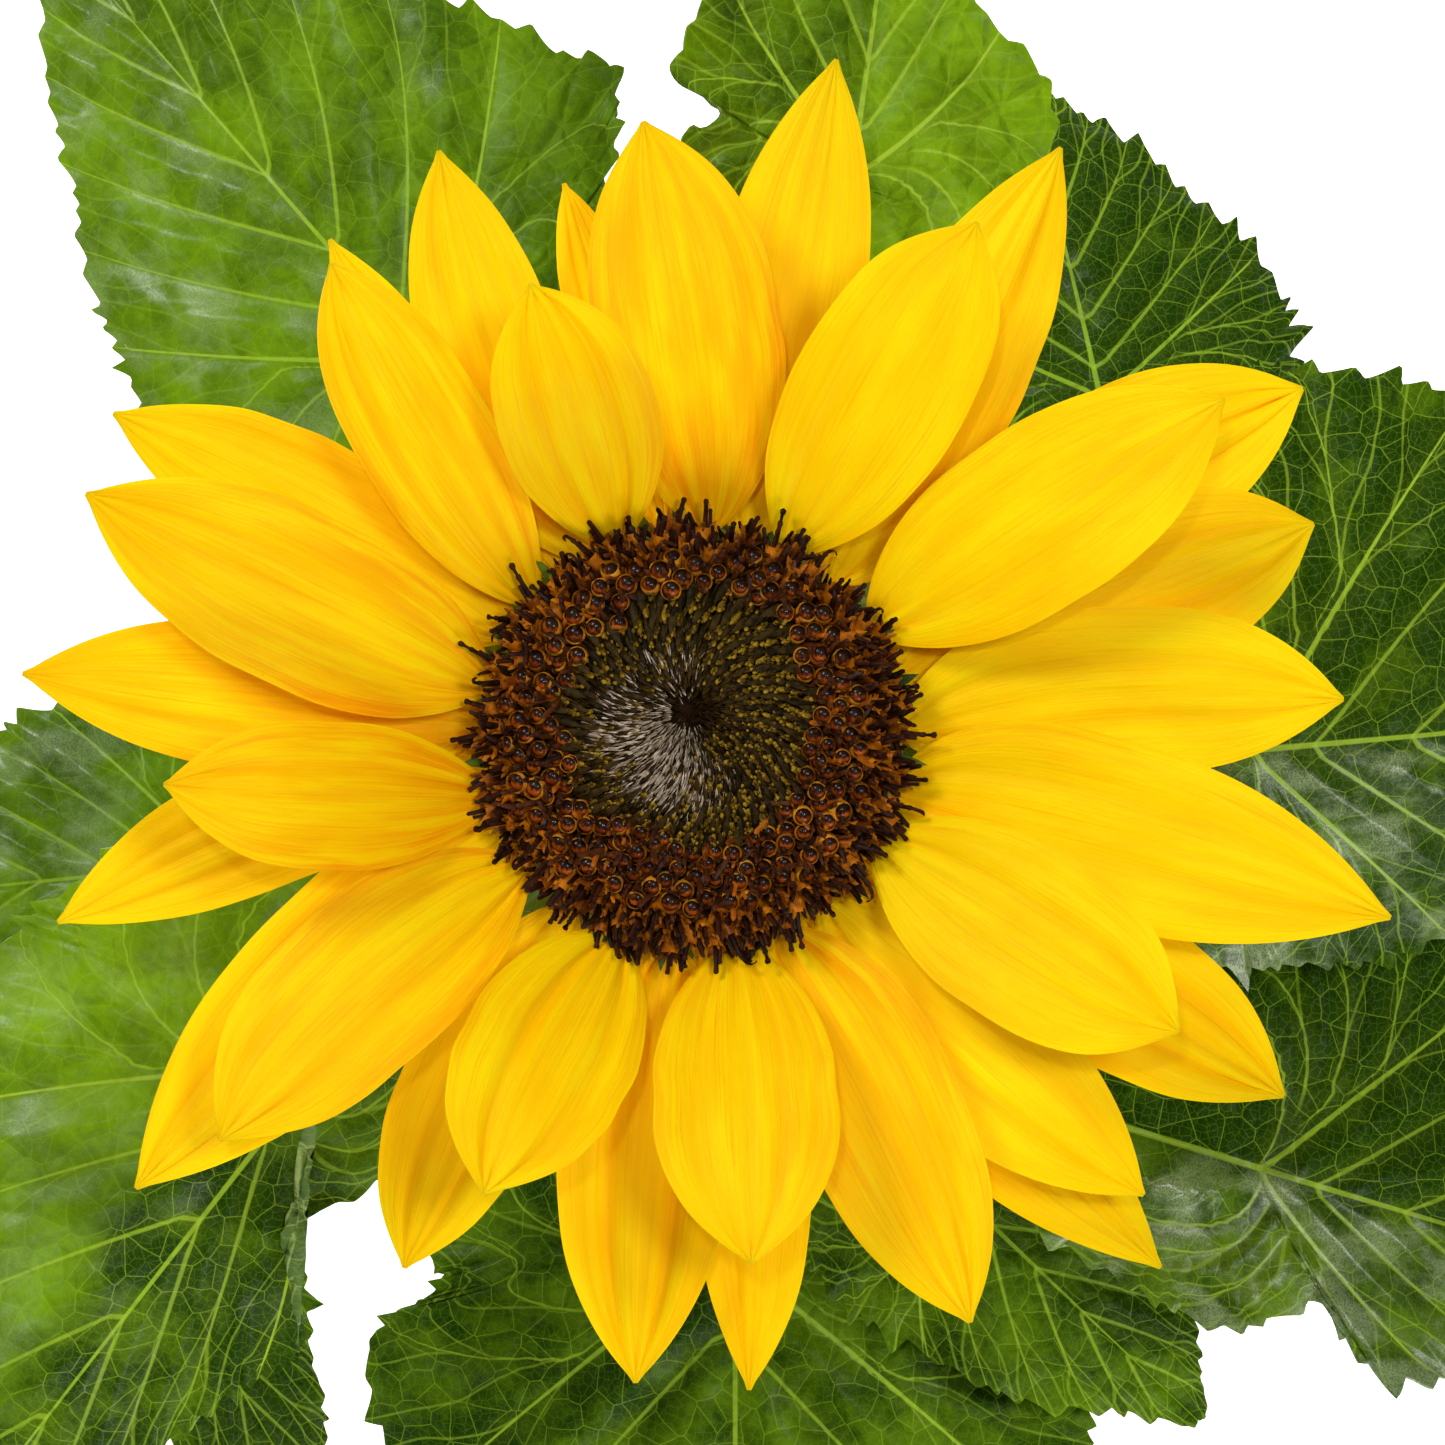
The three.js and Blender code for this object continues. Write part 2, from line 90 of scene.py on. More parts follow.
def unit(vectors: Array) -> Array:
    """Vectors scaled to length one along their last axis."""
    return vectors / np.maximum(np.linalg.norm(vectors, axis=-1, keepdims=True), 1e-12)


def waves(value: Array, rng: np.random.Generator, lowest: int, highest: int) -> Array:
    """A smooth random curve of a few cosines, about one high.

    Args:
        value: where to read it, one period being 2.
        rng: the source of its phases and strengths.
        lowest: its slowest cosine.
        highest: its fastest cosine.

    Returns:
        The curve's height at each value.
    """
    total = np.zeros_like(value)
    for order in range(lowest, highest + 1):
        total += rng.normal(0.0, 1.0) * np.cos(order * math.pi * value + rng.uniform(0.0, 6.28)) / order**0.5
    return total / max(1.0, (highest - lowest + 1) ** 0.5)


def stem_middle(height: Array) -> Array:
    """The middle of the stem.

    Args:
        height: levels above the ground, in millimetres.

    Returns:
        One point for each level.
    """
    share = height / STEM_TOP
    sway = STEM_SWAY * np.sin(math.pi * share) ** 2
    return np.stack([STEM_LEAN[0] * share**2 - sway, STEM_LEAN[1] * share**2 + 0.6 * sway, height], -1)


def stem_radius(height: Array) -> Array:
    """The radius of the stem.

    Args:
        height: levels above the ground, in millimetres.

    Returns:
        One radius for each level.
    """
    taper = STEM_RADIUS_LOW + (STEM_RADIUS_HIGH - STEM_RADIUS_LOW) * height / STEM_TOP
    foot = ROOT_FLARE * np.exp(-height / ROOT_FLARE_HEIGHT)
    return taper + foot + NECK_FLARE * np.exp(-(STEM_TOP - height) / NECK_FLARE_HEIGHT)


HEAD = stem_middle(np.array(STEM_TOP))
HEAD[2] = RIM_HEIGHT


def smooth_path(start: Array, bend: Array, end: Array, along: Array) -> Array:
    """Points of the curve that leads from start through bend to end.

    Args:
        start: its first point.
        bend: the point it passes at half way.
        end: its last point.
        along: from 0 to 1, where to read it.

    Returns:
        One point for each value of along.
    """
    stations = [2 * start - bend, start, bend, end, 2 * end - bend]
    spans = [math.sqrt(np.linalg.norm(b - a)) for a, b in zip(stations, stations[1:])]
    out = np.zeros((len(along), 3))
    for piece in (0, 1):
        before, first, second, after = stations[piece : piece + 4]
        d0, d1, d2 = spans[piece : piece + 3]
        t1 = ((first - before) / d0 - (second - before) / (d0 + d1) + (second - first) / d1) * d1
        t2 = ((second - first) / d1 - (after - first) / (d1 + d2) + (after - second) / d2) * d1
        chosen = (along <= 0.5) if piece == 0 else (along > 0.5)
        t = (2 * along[chosen] - piece)[:, None]
        out[chosen] = (
            first
            + t1 * t
            + (-3 * first + 3 * second - 2 * t1 - t2) * t**2
            + (2 * first - 2 * second + t1 + t2) * t**3
        )
    return out


# Making and shaping meshes.


def clear_selection() -> None:
    """Leaves object mode with nothing selected."""
    if bpy.context.object and bpy.context.object.mode != "OBJECT":
        bpy.ops.object.mode_set(mode="OBJECT")
    bpy.ops.object.select_all(action="DESELECT")


def make_active(piece: bpy.types.Object) -> None:
    """Selects one object alone and makes it active.

    Args:
        piece: the object.
    """
    clear_selection()
    piece.select_set(True)
    bpy.context.view_layer.objects.active = piece


def points_of(piece: bpy.types.Object) -> Array:
    """Reads the vertices of a piece.

    Args:
        piece: the object.

    Returns:
        Its vertices, one row each.
    """
    flat = np.empty(len(piece.data.vertices) * 3)
    piece.data.vertices.foreach_get("co", flat)
    return flat.reshape(-1, 3)


def set_points(piece: bpy.types.Object, points: Array) -> None:
    """Moves the vertices of a piece to new places."""
    piece.data.vertices.foreach_set("co", np.ascontiguousarray(points, dtype=np.float64).ravel())
    piece.data.update()


def set_scalar(piece: bpy.types.Object, name: str, values: Array) -> None:
    """Stores one number for each vertex under a name that materials read."""
    layer = piece.data.attributes.new(name, "FLOAT", "POINT")
    layer.data.foreach_set("value", np.ascontiguousarray(values, dtype=np.float64))


def set_vector(piece: bpy.types.Object, name: str, *parts: Array | float) -> None:
    """Stores three numbers for each vertex under a name that materials read."""
    layer = piece.data.attributes.new(name, "FLOAT_VECTOR", "POINT")
    layer.data.foreach_set("vector", np.stack(np.broadcast_arrays(*parts), -1).ravel())


def sheet(name: str, columns: int, rows: int) -> bpy.types.Object:
    """Adds a flat grid from -1 to 1 each way, as the start of a blade.

    Args:
        name: the piece's name.
        columns: its cells across.
        rows: its cells along.

    Returns:
        The new piece.
    """
    clear_selection()
    bpy.ops.mesh.primitive_grid_add(x_subdivisions=columns, y_subdivisions=rows, size=2.0)
    piece = bpy.context.object
    piece.name = name
    return piece


def column(name: str, sides: int, rings: int) -> bpy.types.Object:
    """Adds a capped upright cylinder of radius 1 from -1 to 1, as the start of a limb.

    Args:
        name: the piece's name.
        sides: its cells around.
        rings: its even steps upwards.

    Returns:
        The new piece.
    """
    clear_selection()
    bpy.ops.mesh.primitive_cylinder_add(vertices=sides, radius=1.0, depth=2.0)
    piece = bpy.context.object
    piece.name = name
    bpy.ops.object.mode_set(mode="EDIT")
    bpy.ops.mesh.select_all(action="DESELECT")
    bpy.context.tool_settings.mesh_select_mode = (False, True, False)
    work = bmesh.from_edit_mesh(piece.data)
    for edge in work.edges:
        edge.select_set(abs(edge.verts[0].co.z - edge.verts[1].co.z) > 1.0)
    bmesh.update_edit_mesh(piece.data)
    bpy.ops.mesh.subdivide(number_cuts=rings - 1)
    bpy.ops.object.mode_set(mode="OBJECT")
    return piece


def thicken(piece: bpy.types.Object, most: float, shares: Array, offset: float) -> None:
    """Gives a sheet its thickness, vertex by vertex.

    Args:
        piece: the sheet, in metres.
        most: the largest thickness, in millimetres.
        shares: the share of it that each vertex gets.
        offset: -1 grows the back, 0 both sides.
    """
    group = piece.vertex_groups.new(name="thickness")
    for step in range(1, 21):
        level = step / 20
        chosen = np.flatnonzero(np.round(np.clip(shares, 0.05, 1.0) * 20) == step)
        if len(chosen):
            group.add(chosen.tolist(), level, "REPLACE")
    make_active(piece)
    modifier = piece.modifiers.new("solidify", "SOLIDIFY")
    modifier.thickness = most * MM
    modifier.offset = offset
    modifier.vertex_group = group.name
    modifier.use_rim = True
    bpy.ops.object.modifier_apply(modifier=modifier.name)
    piece.vertex_groups.clear()


def shade(piece: bpy.types.Object, angle: float = 60.0) -> None:
    """Shades a piece smooth, apart from edges sharper than an angle in degrees."""
    make_active(piece)
    bpy.ops.object.shade_smooth_by_angle(angle=math.radians(angle))


def dress(piece: bpy.types.Object, slot: str, *materials: bpy.types.Material) -> None:
    """Gives a piece its materials, and lets it ride with the plant.

    Args:
        piece: the object.
        slot: not used.
        materials: one for each material number of its faces.
    """
    numbers = np.zeros(len(piece.data.polygons), dtype=np.int32)
    piece.data.polygons.foreach_get("material_index", numbers)
    piece.data.materials.clear()
    for material in materials:
        piece.data.materials.append(material)
    piece.data.polygons.foreach_set("material_index", numbers)
    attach(piece, "root")
    log.info("%s: %d faces", piece.name, len(piece.data.polygons))


@dataclass
class Stencil:
    """A small closed shape that is copied many times: its points and faces."""

    points: Array
    faces: list[list[int]]

    @classmethod
    def taken_from(cls, piece: bpy.types.Object) -> "Stencil":
        """Reads a modelled piece and removes it from the scene.

        Args:
            piece: the object, in millimetres.

        Returns:
            Its shape.
        """
        mesh = piece.data
        stencil = cls(points_of(piece), [list(face.vertices) for face in mesh.polygons])
        bpy.data.objects.remove(piece)
        bpy.data.meshes.remove(mesh)
        return stencil


class Swarm:
    """Many copies of stencils, gathered into one mesh."""

    def __init__(self) -> None:
        """Starts empty."""
        self.points: list[Array] = []
        self.corners: list[Array] = []
        self.counts: list[Array] = []
        self.finishes: list[Array] = []
        self.marks: list[Array] = []
        self.luck: list[Array] = []
        self.total = 0
        self.rng = np.random.default_rng(5)

    def add(
        self,
        stencil: Stencil,
        places: Array,
        frames: Array,
        sizes: Array,
        finishes: Array | int = 0,
        mark: Callable[[Array], Array] | None = None,
    ) -> None:
        """Adds one copy of a stencil for each place.

        Args:
            stencil: the shape, with its axis along +Z.
            places: where each copy's origin goes, in millimetres.
            frames: for each copy, a matrix whose columns are its own X, Y and Z directions.
            sizes: one scale for each copy, or three along its own directions.
            finishes: a material number for each copy, or one for all of them.
            mark: gives a value for materials from each point's direction seen from its copy's middle.
        """
        copies = len(places)
        if not copies:
            return
        own = stencil.points[None, :, :] * sizes[:, None, :]
        world = np.einsum("nij,nkj->nki", frames, own) + places[:, None, :]
        starts = self.total + np.arange(copies)[:, None] * len(stencil.points)
        flat = np.array([i for face in stencil.faces for i in face])
        self.points.append(world.reshape(-1, 3))
        self.corners.append((starts + flat[None, :]).ravel())
        self.counts.append(np.tile([len(face) for face in stencil.faces], copies))
        middle = (stencil.points.max(0) + stencil.points.min(0)) / 2
        outward = unit(np.einsum("nij,nkj->nki", frames, own - middle * sizes[:, None, :]))
        self.marks.append(mark(outward).ravel() if mark else np.zeros(copies * len(stencil.points)))
        self.luck.append(np.repeat(self.rng.normal(0.0, 1.0, copies), len(stencil.points)))
        self.finishes.append(np.repeat(np.broadcast_to(finishes, copies), len(stencil.faces)))
        self.total += copies * len(stencil.points)

    def piece(self, name: str) -> bpy.types.Object:
        """Makes the gathered copies one object, in metres.

        Args:
            name: the piece's name.

        Returns:
            The new piece.
        """
        points, corners = np.vstack(self.points) * MM, np.concatenate(self.corners)
        counts = np.concatenate(self.counts)
        mesh = bpy.data.meshes.new(name)
        mesh.vertices.add(len(points))
        mesh.vertices.foreach_set("co", points.ravel())
        mesh.loops.add(len(corners))
        mesh.loops.foreach_set("vertex_index", corners)
        mesh.polygons.add(len(counts))
        mesh.polygons.foreach_set("loop_start", np.concatenate([[0], np.cumsum(counts)[:-1]]))
        mesh.update(calc_edges=True)
        numbers = np.concatenate(self.finishes).astype(np.int32)
        for _ in range(int(numbers.max()) + 1):
            mesh.materials.append(None)
        mesh.polygons.foreach_set("material_index", numbers)
        piece = bpy.data.objects.new(name, mesh)
        bpy.context.collection.objects.link(piece)
        set_scalar(piece, "mark", np.concatenate(self.marks))
        set_scalar(piece, "luck", np.concatenate(self.luck))
        return piece


def frames_along(axes: Array, turns: Array) -> Array:
    """Frames whose Z directions are given, turned about them.

    Args:
        axes: a unit direction for each frame.
        turns: an angle for each frame, in radians, from the direction nearest to level and outward.

    Returns:
        One 3 by 3 matrix for each axis, with the directions as columns.
    """
    guide = np.where(np.abs(axes[:, 2:3]) > 0.999, np.array([[1.0, 0.0, 0.0]]), np.array([[0.0, 0.0, 1.0]]))
    side = unit(np.cross(guide, axes))
    front = np.cross(side, axes)
    c, s = np.cos(turns)[:, None], np.sin(turns)[:, None]
    x = c * side + s * front
    y = np.cross(axes, x)
    return np.stack([x, y, axes], -1)


def drawn_out(sides: int, stages: Sequence[tuple[float, float, float]]) -> Stencil:
    """A closed rod drawn out of a ring of points, stage by stage.

    Args:
        sides: the points of the ring.
        stages: for each stage, its height, its radius and how far it leans along +X.

    Returns:
        The rod as a stencil, in millimetres.
    """
    clear_selection()
    bpy.ops.mesh.primitive_circle_add(vertices=sides, radius=stages[0][1], fill_type="NGON")
    piece = bpy.context.object
    bpy.ops.object.mode_set(mode="EDIT")
    bpy.ops.mesh.select_all(action="SELECT")
    for _ in stages[1:]:
        bpy.ops.mesh.extrude_region_move(TRANSFORM_OT_translate={"value": (0, 0, 1.0)})
    bpy.ops.mesh.merge(type="CENTER")
    bpy.ops.mesh.select_all(action="SELECT")
    bpy.ops.mesh.normals_make_consistent(inside=False)
    bpy.ops.object.mode_set(mode="OBJECT")
    points = points_of(piece)
    step = np.round(points[:, 2]).astype(int)
    table = np.array(stages)
    around = np.arctan2(points[:, 1], points[:, 0])
    still = np.hypot(points[:, 0], points[:, 1]) > 1e-6
    ring = table[step, 1] * still
    points = np.stack([ring * np.cos(around) + table[step, 2], ring * np.sin(around), table[step, 0]], -1)
    set_points(piece, points)
    return Stencil.taken_from(piece)


def stiff_hair() -> Stencil:
    """One hair of the stem, the stalks or the bracts, a millimetre long."""
    return drawn_out(3, ((0, 0.05, 0), (0.5, 0.035, 0.04), (1.0, 0.004, 0.14)))


# Finishes.


def socket(group: bpy.types.NodeTree, name: str, side: str, kind: str, value: float | None = None) -> None:
    """Adds a named socket to a node group.

    Args:
        group: the node group.
        name: the socket's name.
        side: INPUT or OUTPUT.
        kind: its socket type.
        value: its start value, if it has one.
    """
    made = group.interface.new_socket(name=name, in_out=side, socket_type=kind)
    if value is not None:
        made.default_value = value


class Wires:
    """Short ways to add and link nodes in one node tree."""

    def __init__(self, tree: bpy.types.NodeTree) -> None:
        """Works on the given tree."""
        self.tree = tree

    def add(self, kind: str, **settings: object) -> bpy.types.Node:
        """Adds a node.

        Args:
            kind: the node's type.
            settings: its properties.

        Returns:
            The node.
        """
        node = self.tree.nodes.new(kind)
        for key, value in settings.items():
            setattr(node, key, value)
        return node

    def feed(self, node: bpy.types.Node, name: str | int, source: object) -> None:
        """Links a socket into an input, or sets the input to a plain value.

        Args:
            node: the node that is fed.
            name: the input's name or number.
            source: a socket or a value.
        """
        target = node.inputs[name]
        if isinstance(source, bpy.types.NodeSocket):
            self.tree.links.new(source, target)
        else:
            target.default_value = source

    def made(
        self, kind: str, inputs: dict[str | int, object], output: str | int = 0, **settings: object
    ) -> object:
        """Adds a node and feeds it.

        Args:
            kind: the node's type.
            inputs: the source or value of each input that is set, by its name or number.
            output: the name or number of the output that is wanted.
            settings: its properties.

        Returns:
            That output.
        """
        node = self.add(kind, **settings)
        for name, source in inputs.items():
            self.feed(node, name, source)
        return node.outputs[output]

    def maths(self, operation: str, *numbers: object) -> object:
        """The result of a Math operation on one, two or three numbers."""
        return self.made("ShaderNodeMath", dict(enumerate(numbers)), operation=operation)

    def ramp(
        self, value: object, low: object, high: object, from_value: object = 0.0, to_value: object = 1.0
    ) -> object:
        """A value between low and high, mapped smoothly to another range."""
        inputs = dict(enumerate((value, low, high, from_value, to_value)))
        return self.made("ShaderNodeMapRange", inputs, interpolation_type="SMOOTHSTEP")

    def mix(self, share: object, first: object, second: object) -> object:
        """A colour with a share of a second one mixed in."""
        return self.made("ShaderNodeMix", {0: share, 6: first, 7: second}, 2, data_type="RGBA")

    def over(self, base: object, mask: object, share: object, colour: object) -> object:
        """A colour laid over another where a mask shows, at most by a share."""
        return self.mix(self.maths("MULTIPLY", mask, share), base, colour)

    def clamped(self, value: object) -> object:
        """A value kept between 0 and 1."""
        return self.made("ShaderNodeClamp", {0: value})

    def noise(self, vector: object, scale: object, detail: float = 2.0, roughness: float = 0.5) -> object:
        """The height of a noise, from its scale, its finer layers and how strong those are."""
        inputs = {"Vector": vector, "Scale": scale, "Detail": detail, "Roughness": roughness}
        return self.made("ShaderNodeTexNoise", inputs, "Fac")

    def stretched(self, vector: object, scale: object) -> object:
        """A vector scaled along each axis."""
        return self.made("ShaderNodeVectorMath", {0: vector, 1: scale}, operation="MULTIPLY")

    def use(self, group: bpy.types.NodeTree, **inputs: object) -> bpy.types.Node:
        """Places a node group.

        Args:
            group: the node group.
            inputs: what feeds each input, with an underscore for a space in its name.

        Returns:
            The group's node.
        """
        node = self.add("ShaderNodeGroup")
        node.node_tree = group
        for key, source in inputs.items():
            self.feed(node, key.replace("_", " "), source)
        return node

    def attribute(self, name: str, output: str = "Fac") -> object:
        """A piece's stored attribute."""
        return self.made("ShaderNodeAttribute", {}, output, attribute_name=name)

    def object_place(self) -> object:
        """Object coordinates, in metres."""
        return self.made("ShaderNodeTexCoord", {}, "Object")

    def bump(self, height: object, distance: float, strength: float = 1.0, **below: object) -> object:
        """The normal of a relief that is a distance in metres high, over a Normal if one is given."""
        inputs = {"Height": height, "Distance": distance, "Strength": strength} | below
        return self.made("ShaderNodeBump", inputs)


GroupParts = tuple[bpy.types.NodeTree, Wires, bpy.types.Node, bpy.types.Node]


def new_group(name: str, inputs: dict[str, tuple[str, float | None]], outputs: dict[str, str]) -> GroupParts:
    """An empty node group with its sockets.

    Args:
        name: the group's name.
        inputs: for each input, its socket type and start value.
        outputs: for each output, its socket type.

    Returns:
        The group, its wires, and its input and output nodes.
    """
    group = bpy.data.node_groups.new(name, "ShaderNodeTree")
    for key, (kind, value) in inputs.items():
        socket(group, key, "INPUT", kind, value)
    for key, kind in outputs.items():
        socket(group, key, "OUTPUT", kind)
    wires = Wires(group)
    return group, wires, wires.add("NodeGroupInput"), wires.add("NodeGroupOutput")


FLOAT, COLOR, VECTOR = "NodeSocketFloat", "NodeSocketColor", "NodeSocketVector"


def mottle_group() -> bpy.types.NodeTree:
    """Two colours mixed in soft uneven patches, with a finer speckle over them.

    Returns:
        The node group.
    """
    group, w, source, sink = new_group(
        "mottle",
        {
            "Vector": (VECTOR, None),
            "Scale": (FLOAT, 1.0),
            "First": (COLOR, None),
            "Second": (COLOR, None),
            "Bias": (FLOAT, 0.5),
            "Spread": (FLOAT, 1.0),
            "Speckle": (FLOAT, 0.3),
        },
        {"Color": COLOR, "Patch": FLOAT},
    )
    vector, scale = source.outputs["Vector"], source.outputs["Scale"]
    centred = w.maths("SUBTRACT", w.ramp(w.noise(vector, scale, 3.0), 0.3, 0.7), 0.5)
    shifted = w.maths("MULTIPLY_ADD", centred, source.outputs["Spread"], source.outputs["Bias"])
    fine = w.noise(vector, w.maths("MULTIPLY", scale, 9.0), 2.0)
    grain = w.maths("MULTIPLY", w.maths("SUBTRACT", fine, 0.5), source.outputs["Speckle"])
    share = w.clamped(w.maths("ADD", shifted, grain))
    w.feed(sink, "Color", w.mix(share, source.outputs["First"], source.outputs["Second"]))
    w.feed(sink, "Patch", share)
    return group


def network_group() -> bpy.types.NodeTree:
    """A net of small veins: a mask of its lines, and the swelling of its meshes.

    Returns:
        The node group.
    """
    group, w, source, sink = new_group(
        "vein_network",
        {"Vector": (VECTOR, None), "Mesh Size": (FLOAT, 6.0), "Line": (FLOAT, 0.06)},
        {"Lines": FLOAT, "Swell": FLOAT},
    )
    vector = source.outputs["Vector"]
    warp = w.made("ShaderNodeTexNoise", {"Vector": vector, "Scale": 0.1, "Detail": 2.0}, "Color")
    moved = w.made(
        "ShaderNodeVectorMath", {0: warp, 1: (2.4, 2.4, 0.0), 2: vector}, operation="MULTIPLY_ADD"
    )
    meshes = w.maths("DIVIDE", 1.0, source.outputs["Mesh Size"])
    distance = w.made(
        "ShaderNodeTexVoronoi", {"Vector": moved, "Scale": meshes}, "Distance",
        feature="DISTANCE_TO_EDGE", voronoi_dimensions="2D",
    )
    w.feed(sink, "Lines", w.ramp(distance, 0.0, source.outputs["Line"], 1.0, 0.0))
    w.feed(sink, "Swell", w.ramp(distance, 0.0, 0.35))
    return group


def vein_group() -> bpy.types.NodeTree:
    """The side veins of a leaf, one at each whole phase, and their forks near the margin.

    Returns:
        The node group.
    """
    group, w, source, sink = new_group(
        "side_veins",
        {"Veins": (VECTOR, None), "Width": (FLOAT, 0.29)},
        {"Lines": FLOAT, "Forks": FLOAT, "Distance": FLOAT},
    )
    parts = w.add("ShaderNodeSeparateXYZ")
    w.feed(parts, 0, source.outputs["Veins"])
    phase, pitch, share = parts.outputs
    fraction = w.maths("FRACT", phase)
    nearest = w.maths("MINIMUM", fraction, w.maths("SUBTRACT", 1.0, fraction))
    distance = w.maths("MULTIPLY", nearest, pitch)
    width = w.maths("MULTIPLY", source.outputs["Width"], w.ramp(share, 0.0, 1.0, 1.0, 0.3))
    relative = w.maths("DIVIDE", distance, width)
    apart = w.ramp(pitch, 1.0, 3.2, 0.0, 1.0)
    w.feed(sink, "Lines", w.maths("MULTIPLY", w.ramp(relative, 0.45, 1.3, 1.0, 0.0), apart))
    w.feed(sink, "Distance", distance)
    forks = []
    for begin, low, high, end in ((0.0, 0.45, 0.8, 0.5), (1.0, 0.6, 0.92, 0.68), (0.0, 0.74, 1.0, 0.24)):
        course = w.ramp(share, low, high, begin, end)
        aside = w.maths("MULTIPLY", w.maths("ABSOLUTE", w.maths("SUBTRACT", fraction, course)), pitch)
        shown = w.ramp(share, low - 0.02, low + 0.04)
        forks.append(w.maths("MULTIPLY", w.ramp(aside, 0.07, 0.24, 1.0, 0.0), shown))
    w.feed(sink, "Forks", w.maths("MAXIMUM", w.maths("MAXIMUM", forks[0], forks[1]), forks[2]))
    return group


def streak_group() -> bpy.types.NodeTree:
    """Fine lines that run along a blade, from coordinates across and along it.

    Returns:
        The node group.
    """
    group, w, source, sink = new_group(
        "streaks",
        {"Vector": (VECTOR, None), "Across": (FLOAT, 1.0), "Along": (FLOAT, 0.05)},
        {"Fac": FLOAT},
    )
    parts = {0: source.outputs["Across"], 1: source.outputs["Along"], 2: 1.0}
    vector = w.stretched(source.outputs["Vector"], w.made("ShaderNodeCombineXYZ", parts))
    w.feed(sink, "Fac", w.noise(vector, 1.0, 3.0, 0.6))
    return group


def rgb(red: int, green: int, blue: int) -> tuple[float, float, float, float]:
    """A colour seen as three screen values from 0 to 255, as linear light."""
    linear = [
        v / 12.92 if v <= 0.04045 else ((v + 0.055) / 1.055) ** 2.4
        for v in (red / 255, green / 255, blue / 255)
    ]
    return (linear[0], linear[1], linear[2], 1.0)


Colour = tuple[float, float, float, float]


@dataclass(frozen=True)
class Gloss:
    """How a surface shines."""

    roughness: float = 0.5
    coat: float = 0.0
    coat_roughness: float = 0.1
    specular: float = 0.5
    scatter: float = 0.0


def new_material(name: str, gloss: Gloss) -> tuple[bpy.types.Material, Wires, bpy.types.Node]:
    """A material with its shader set to a gloss.

    Args:
        name: the material's name.
        gloss: its constant values.

    Returns:
        The material, its wires and its shader node.
    """
    material = bpy.data.materials.new(name)
    material.use_nodes = True
    shader = material.node_tree.nodes["Principled BSDF"]
    shader.inputs["Roughness"].default_value = gloss.roughness
    shader.inputs["Coat Weight"].default_value = gloss.coat
    shader.inputs["Coat Roughness"].default_value = gloss.coat_roughness
    shader.inputs["Specular IOR Level"].default_value = gloss.specular
    if gloss.scatter:
        shader.inputs["Subsurface Weight"].default_value = gloss.scatter
        shader.inputs["Subsurface Radius"].default_value = (0.9, 0.55, 0.05)
        shader.inputs["Subsurface Scale"].default_value = 0.0012
    return material, Wires(material.node_tree), shader


@dataclass(frozen=True)
class SpeckledFinish:
    """Small plant parts: two colours in fine patches that vary from part to part, a third where marked, which
    on the globes is painted shade.
    """

    name: str
    first: Colour
    second: Colour
    gloss: Gloss = Gloss()
    scale: float = 900.0
    relief: float = 0.00003
    # On the globes the spot colour is painted shade.
    spot: Colour = (0.0, 0.0, 0.0, 1.0)
    variety: float = 0.22

    def material(self, groups: "Groups") -> bpy.types.Material:
        """Makes the material, which reads the attributes mark and luck.

        Args:
            groups: the shared node groups.

        Returns:
            The material.
        """
        made, w, shader = new_material(self.name, self.gloss)
        place = w.object_place()
        bias = w.maths("MULTIPLY_ADD", w.attribute("luck"), self.variety, 0.5)
        patches = w.use(
            groups.mottle, Vector=place, Scale=self.scale, First=self.first, Second=self.second,
            Bias=bias, Spread=0.8, Speckle=0.6,
        )
        base = w.mix(w.attribute("mark"), patches.outputs["Color"], self.spot)
        w.feed(shader, "Base Color", base)
        rough = self.gloss.roughness
        w.feed(shader, "Roughness", w.ramp(patches.outputs["Patch"], 0.0, 1.0, rough * 0.8, rough * 1.2))
        w.feed(shader, "Normal", w.bump(w.noise(place, self.scale * 3.0), self.relief))
        return made


